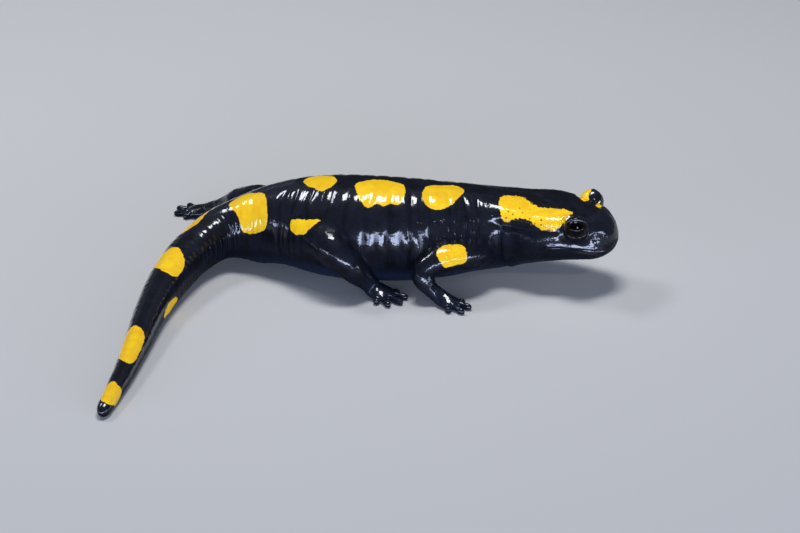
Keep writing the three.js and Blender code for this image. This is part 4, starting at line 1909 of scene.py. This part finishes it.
@dataclass(frozen=True)
class WetSkin:
    """Amphibian skin, alive and wet.

    Soft skin full of glands under a film of water and slime: near black with a blue cast, and
    warm yellow where it is marked. The film gives sharp, broken lights on a soft, dark body.
    """

    black: str = "#0a0b10"
    blue_black: str = "#11141e"
    # Blue grey of the underside: partly a paler belly, partly a painted reflection of the blue sky.
    belly: str = "#1c2537"
    yellow: str = "#f0c41c"
    amber: str = "#e8b017"
    patch_size: float = 2.2
    edge_wobble: float = 0.26
    edge_size: float = 0.9
    notch: float = 0.34
    wrinkle_depth: float = 0.055
    wrinkles_per_mm: Three = (1.25, 0.3, 0.3)
    grain_depth: float = 0.06
    grain_size: float = 0.42
    roughness: Two = (0.42, 0.6)
    specular: float = 0.09
    ior: float = 1.38
    film_roughness: float = 0.1
    film_ior: float = 1.5
    film_share: float = 0.5

    def material(self) -> bpy.types.Material:
        """The finish: colours by marking and by place on the body, over wrinkles and granules.

        Returns:
            The new material.
        """
        material, node, shader = new_material("wet_amphibian_skin")
        at = node("TexCoord", {}).outputs["Object"]
        straight = node("Attribute", {}, attribute_name="straight").outputs["Vector"]
        marking, ragged_edge, pale, grainy, wet = (
            node("Attribute", {}, attribute_name=name).outputs["Fac"]
            for name in ("marking", "raggedness", "pale_belly_and_sky_sheen", "graininess", "wetness")
        )
        # Granules of the skin measure about 0.1 mm; they are drawn at 0.4 mm, so that they show.
        cells = {"Vector": at, "Scale": per_mm(self.grain_size), "Smoothness": 0.6}
        granules = node("TexVoronoi", cells, feature="SMOOTH_F1").outputs["Distance"]

        # Edges of the markings wander, and are notched where pigment stops at the granules.
        coarse = {"Vector": at, "Scale": per_mm(self.edge_size), "Detail": 3.0, "Roughness": 0.6}
        ragged = node("TexNoise", coarse).outputs[0]
        spread = {"Value": ragged, "From Min": 0.3, "From Max": 0.7}
        half = self.edge_wobble / 2
        wobble = node("MapRange", {**spread, "To Min": -half, "To Max": half}).outputs[0]
        between = {"Value": granules, "From Min": 0.1, "From Max": 0.6}
        half = self.notch / 2
        notches = node("MapRange", {**between, "To Min": half, "To Max": -half}).outputs[0]
        wandering = node("Math", {0: marking, 1: wobble}, operation="ADD").outputs[0]
        notched = {0: notches, 1: ragged_edge, 2: wandering}
        depth = node("Math", notched, operation="MULTIPLY_ADD").outputs[0]
        marked = node("MapRange", {"Value": depth, "From Min": -0.05, "From Max": 0.06}).outputs[0]

        # Yellow deepens to amber, and black to blue black, in the same soft patches.
        patches = node("TexNoise", {"Vector": at, "Scale": per_mm(self.patch_size), "Detail": 3.0})
        soft = {"Value": patches.outputs[0], "From Min": 0.35, "From Max": 0.7}
        patch = node("MapRange", soft).outputs[0]
        yellow, dark = (
            node("Mix", {SHARE: patch, FIRST: linear(one), SECOND: linear(other)}, data_type="RGBA")
            for one, other in ((self.yellow, self.amber), (self.black, self.blue_black))
        )
        colour = dark.outputs[MIXED]
        # The underside is painted blue grey, partly a paler belly and partly a painted sky reflection;
        # the yellow markings lie over it.
        for share, over in ((pale, linear(self.belly)), (marked, yellow.outputs[MIXED])):
            layers = {SHARE: share, FIRST: colour, SECOND: over}
            colour = node("Mix", layers, data_type="RGBA").outputs[MIXED]

        # Wrinkles cross the body, about 0.8 mm apart and several millimetres long.
        stretch = {"Vector": straight, "Scale": self.wrinkles_per_mm}
        stretched = node("Mapping", stretch, vector_type="POINT").outputs[0]
        long_grain = {"Vector": stretched, "Scale": 1.0, "Detail": 2.0, "Roughness": 0.5}
        wrinkles = node("TexNoise", long_grain).outputs[0]
        folds = {"Strength": 1.0, "Distance": self.wrinkle_depth * MM, "Height": wrinkles}
        rough = {"Strength": grainy, "Height": granules, "Normal": node("Bump", folds).outputs[0]}
        bump, film_bump = (
            node("Bump", {**rough, "Distance": share * self.grain_depth * MM}, invert=True).outputs[0]
            for share in (1.0, self.film_share)
        )
        low, high = self.roughness
        set_inputs(shader, {
            "Base Color": colour,
            "Roughness": node("MapRange", {**spread, "To Min": low, "To Max": high}).outputs[0],
            "Normal": bump,
            "IOR": self.ior,
            "Specular IOR Level": self.specular,
            "Coat Normal": film_bump,
            "Coat Weight": wet,
            "Coat Roughness": self.film_roughness,
            "Coat IOR": self.film_ior,
        })
        return material


@dataclass(frozen=True)
class DarkEye:
    """A wet, living eye.

    A clear domed cornea over a dark brown iris and a wide black pupil: almost black, with one
    small, sharp light. Angles are in degrees from the middle of the pupil, and each ring of
    colour starts at one and is full after a few more.
    """

    pupil: str = "#020203"
    iris: str = "#1c120b"
    rim: str = "#05060a"
    iris_start: Two = (34.0, 3.0)
    rim_start: Two = (62.0, 6.0)
    fleck_size: float = 0.3
    roughness: float = 0.05
    specular: float = 0.2
    ior: float = 1.33

    def material(self) -> bpy.types.Material:
        """The finish: rings of colour by the angle from the middle of the pupil.

        Returns:
            The new material.
        """
        material, node, shader = new_material("wet_eye")
        at = node("TexCoord", {}).outputs["Object"]
        angle = node("Attribute", {}, attribute_name="gaze").outputs["Fac"]
        flecks = node("TexNoise", {"Vector": at, "Scale": per_mm(self.fleck_size), "Detail": 2.0})
        browns = {SHARE: flecks.outputs[0], FIRST: linear(self.rim), SECOND: linear(self.iris)}
        speckled = node("Mix", browns, data_type="RGBA").outputs[MIXED]
        rings = ((self.iris_start, speckled), (self.rim_start, linear(self.rim)))
        colour: object = linear(self.pupil)
        for (start, width), ring in rings:
            edge = {"Value": angle, "From Min": start, "From Max": start + width}
            layers = {SHARE: node("MapRange", edge).outputs[0], FIRST: colour, SECOND: ring}
            colour = node("Mix", layers, data_type="RGBA").outputs[MIXED]
        set_inputs(shader, {
            "Base Color": colour,
            "Roughness": self.roughness,
            "IOR": self.ior,
            "Specular IOR Level": self.specular,
        })
        return material


@dataclass(frozen=True)
class PaleFloor:
    """Matt painted board: pale, even and without shine, so that only soft shadows lie on it."""

    colour: str = "#bfbeb9"
    mottle_size: float = 60.0
    roughness: Two = (0.85, 0.95)
    specular: float = 0.1

    def material(self) -> bpy.types.Material:
        """The finish: a faint mottling of the paint.

        Returns:
            The new material.
        """
        material, node, shader = new_material("matt_painted_board")
        at = node("TexCoord", {}).outputs["Object"]
        mottle = node("TexNoise", {"Vector": at, "Scale": per_mm(self.mottle_size)}).outputs[0]
        low, high = self.roughness
        rough = node("MapRange", {"Value": mottle, "To Min": low, "To Max": high}).outputs[0]
        set_inputs(shader, {
            "Base Color": linear(self.colour),
            "Roughness": rough,
            "Specular IOR Level": self.specular,
        })
        return material


# ------------------------------------------------------------------ the studio


def aim_at(
    thing: bpy.types.Object, aim: Three, azimuth: float, elevation: float, distance: float
) -> None:
    """Puts a lamp or the camera at a distance from its aim, turned to it and level across.

    At azimuth 0 it looks along +Y, and at elevation 0 it looks level.

    Args:
        thing: The lamp or camera.
        aim: Place to look at.
        azimuth: Turn about Z, in degrees.
        elevation: Tilt down from level, in degrees.
        distance: Way from the aim.
    """
    turn, lift = math.radians(azimuth), math.radians(elevation)
    x, y, z = aim
    thing.location = (
        x - distance * math.sin(turn) * math.cos(lift),
        y - distance * math.cos(turn) * math.cos(lift),
        z + distance * math.sin(lift),
    )
    thing.rotation_euler = (math.pi / 2 - lift, 0.0, -turn)


@dataclass(frozen=True)
class SoftLight:
    """A rectangular light that shines from a direction at a place, soft by its size.

    Its spread is the angle of its beam in degrees.
    """

    name: str
    azimuth: float
    elevation: float
    distance: float
    size: Two
    power: float
    colour: str
    aim: Three = (0.0, 0.0, 0.0)
    spread: float = 180.0

    def add(self) -> None:
        """Makes the light, its long side level, turned to the place it shines at."""
        data = bpy.data.lights.new(self.name, "AREA")
        data.shape = "RECTANGLE"
        data.size, data.size_y = self.size
        data.energy = self.power
        data.color = linear(self.colour)[:3]
        data.spread = math.radians(self.spread)
        lamp = bpy.data.objects.new(self.name, data)
        aim_at(lamp, self.aim, self.azimuth, self.elevation, self.distance)
        lamp.visible_camera = False
        bpy.context.scene.collection.objects.link(lamp)


@dataclass(frozen=True)
class Studio:
    """Camera, floor and lights."""

    target: Three = (0.001, 0.0, 0.0011)
    camera_distance: float = 0.444
    camera_elevation: float = 25.0
    lens: float = 100.0
    sensor: float = 36.0
    floor_size: float = 3.0
    sky: str = "#a9b6d4"
    sky_strength: float = 0.2
    lights: tuple[SoftLight, ...] = (
        SoftLight("overhead", 180.0, 82.0, 0.5, (0.18, 0.115), 1.7, "#f6f8ff"),
        SoftLight("behind", 126.0, 48.0, 0.6, (0.15, 0.1), 1.0, "#eef2ff"),
        SoftLight("low_front", -9.0, 8.0, 0.9, (1.0, 0.14), 8.6, "#ccd9ff"),
        SoftLight("low_ahead", -62.0, 9.0, 0.9, (0.5, 0.1), 2.3, "#ccd9ff"),
        SoftLight("low_behind", 48.0, 9.0, 0.9, (0.8, 0.09), 3.0, "#ccd9ff"),
        # A small lamp with a narrow beam puts the sparkle in the right eye.
        SoftLight(
            "head_light",
            -18.0,
            40.0,
            0.2,
            (0.015, 0.015),
            0.00035,
            "#ffffff",
            aim=(0.036, -0.008, 0.012),
            spread=16.0,
        ),
    )

    def add_camera(self) -> None:
        """The camera looks along +Y and down at its elevation, at the target."""
        data = bpy.data.cameras.new("camera")
        data.lens = self.lens
        data.sensor_width = self.sensor
        data.clip_start = 0.01
        camera = bpy.data.objects.new("camera", data)
        aim_at(camera, self.target, 0.0, self.camera_elevation, self.camera_distance)
        bpy.context.scene.collection.objects.link(camera)
        bpy.context.scene.camera = camera

    def add_floor(self) -> None:
        """A level square sheet under the feet."""
        half = self.floor_size / 2
        corners = np.array([(-half, -half, 0), (half, -half, 0), (half, half, 0), (-half, half, 0)])
        floor = mesh_object("floor", corners, np.array([(0, 1, 2), (0, 2, 3)]), scale=1.0)
        floor.data.materials.append(PaleFloor().material())

    def add_sky(self) -> None:
        """An even, dim surround."""
        world = bpy.data.worlds.new("surround")
        world.use_nodes = True
        background = world.node_tree.nodes["Background"]
        background.inputs["Color"].default_value = linear(self.sky)
        background.inputs["Strength"].default_value = self.sky_strength
        bpy.context.scene.world = world
        # Colours are shown as they are, so that the yellow keeps its depth.
        bpy.context.scene.view_settings.view_transform = "Standard"

    def build(self) -> None:
        """Sets up all of the studio."""
        self.add_camera()
        self.add_floor()
        self.add_sky()
        for light in self.lights:
            light.add()


# ------------------------------------------------------------------ the salamander


@dataclass
class Salamander:
    """The whole animal: its skin and its two eyes."""

    body: BodyTube = field(default_factory=BodyTube)

    def build(self) -> list[bpy.types.Object]:
        """Builds, dresses and returns all pieces.

        Returns:
            The pieces.
        """
        eyes = tuple(Eye(side, self.body) for side in Side)
        eye_nodes = {eye.node for eye in eyes}
        flesh = tuple(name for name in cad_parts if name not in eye_nodes)
        skin = Skin(self.body, LEGS, eyes, flesh).build()
        skin.data.materials.append(WetSkin().material())
        pieces = [skin]
        finish = DarkEye().material()
        for eye in eyes:
            points, faces, angles = eye.ball()
            ball = mesh_object(f"{eye.side.name.lower()}_eyeball", points, faces)
            add_attribute(ball, "gaze", angles)
            ball.data.materials.append(finish)
            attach(ball, "root")
            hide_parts(eye.node)
            pieces.append(ball)
        return pieces


def main() -> None:
    """Builds the studio and the animal, and reports each piece."""
    logging.basicConfig(level=logging.INFO, format="%(name)s: %(message)s", stream=sys.stdout)
    Studio().build()
    for piece in Salamander().build():
        log.info("%s: %d triangles", piece.name, len(piece.data.polygons))


if __name__ == "__main__":
    main()
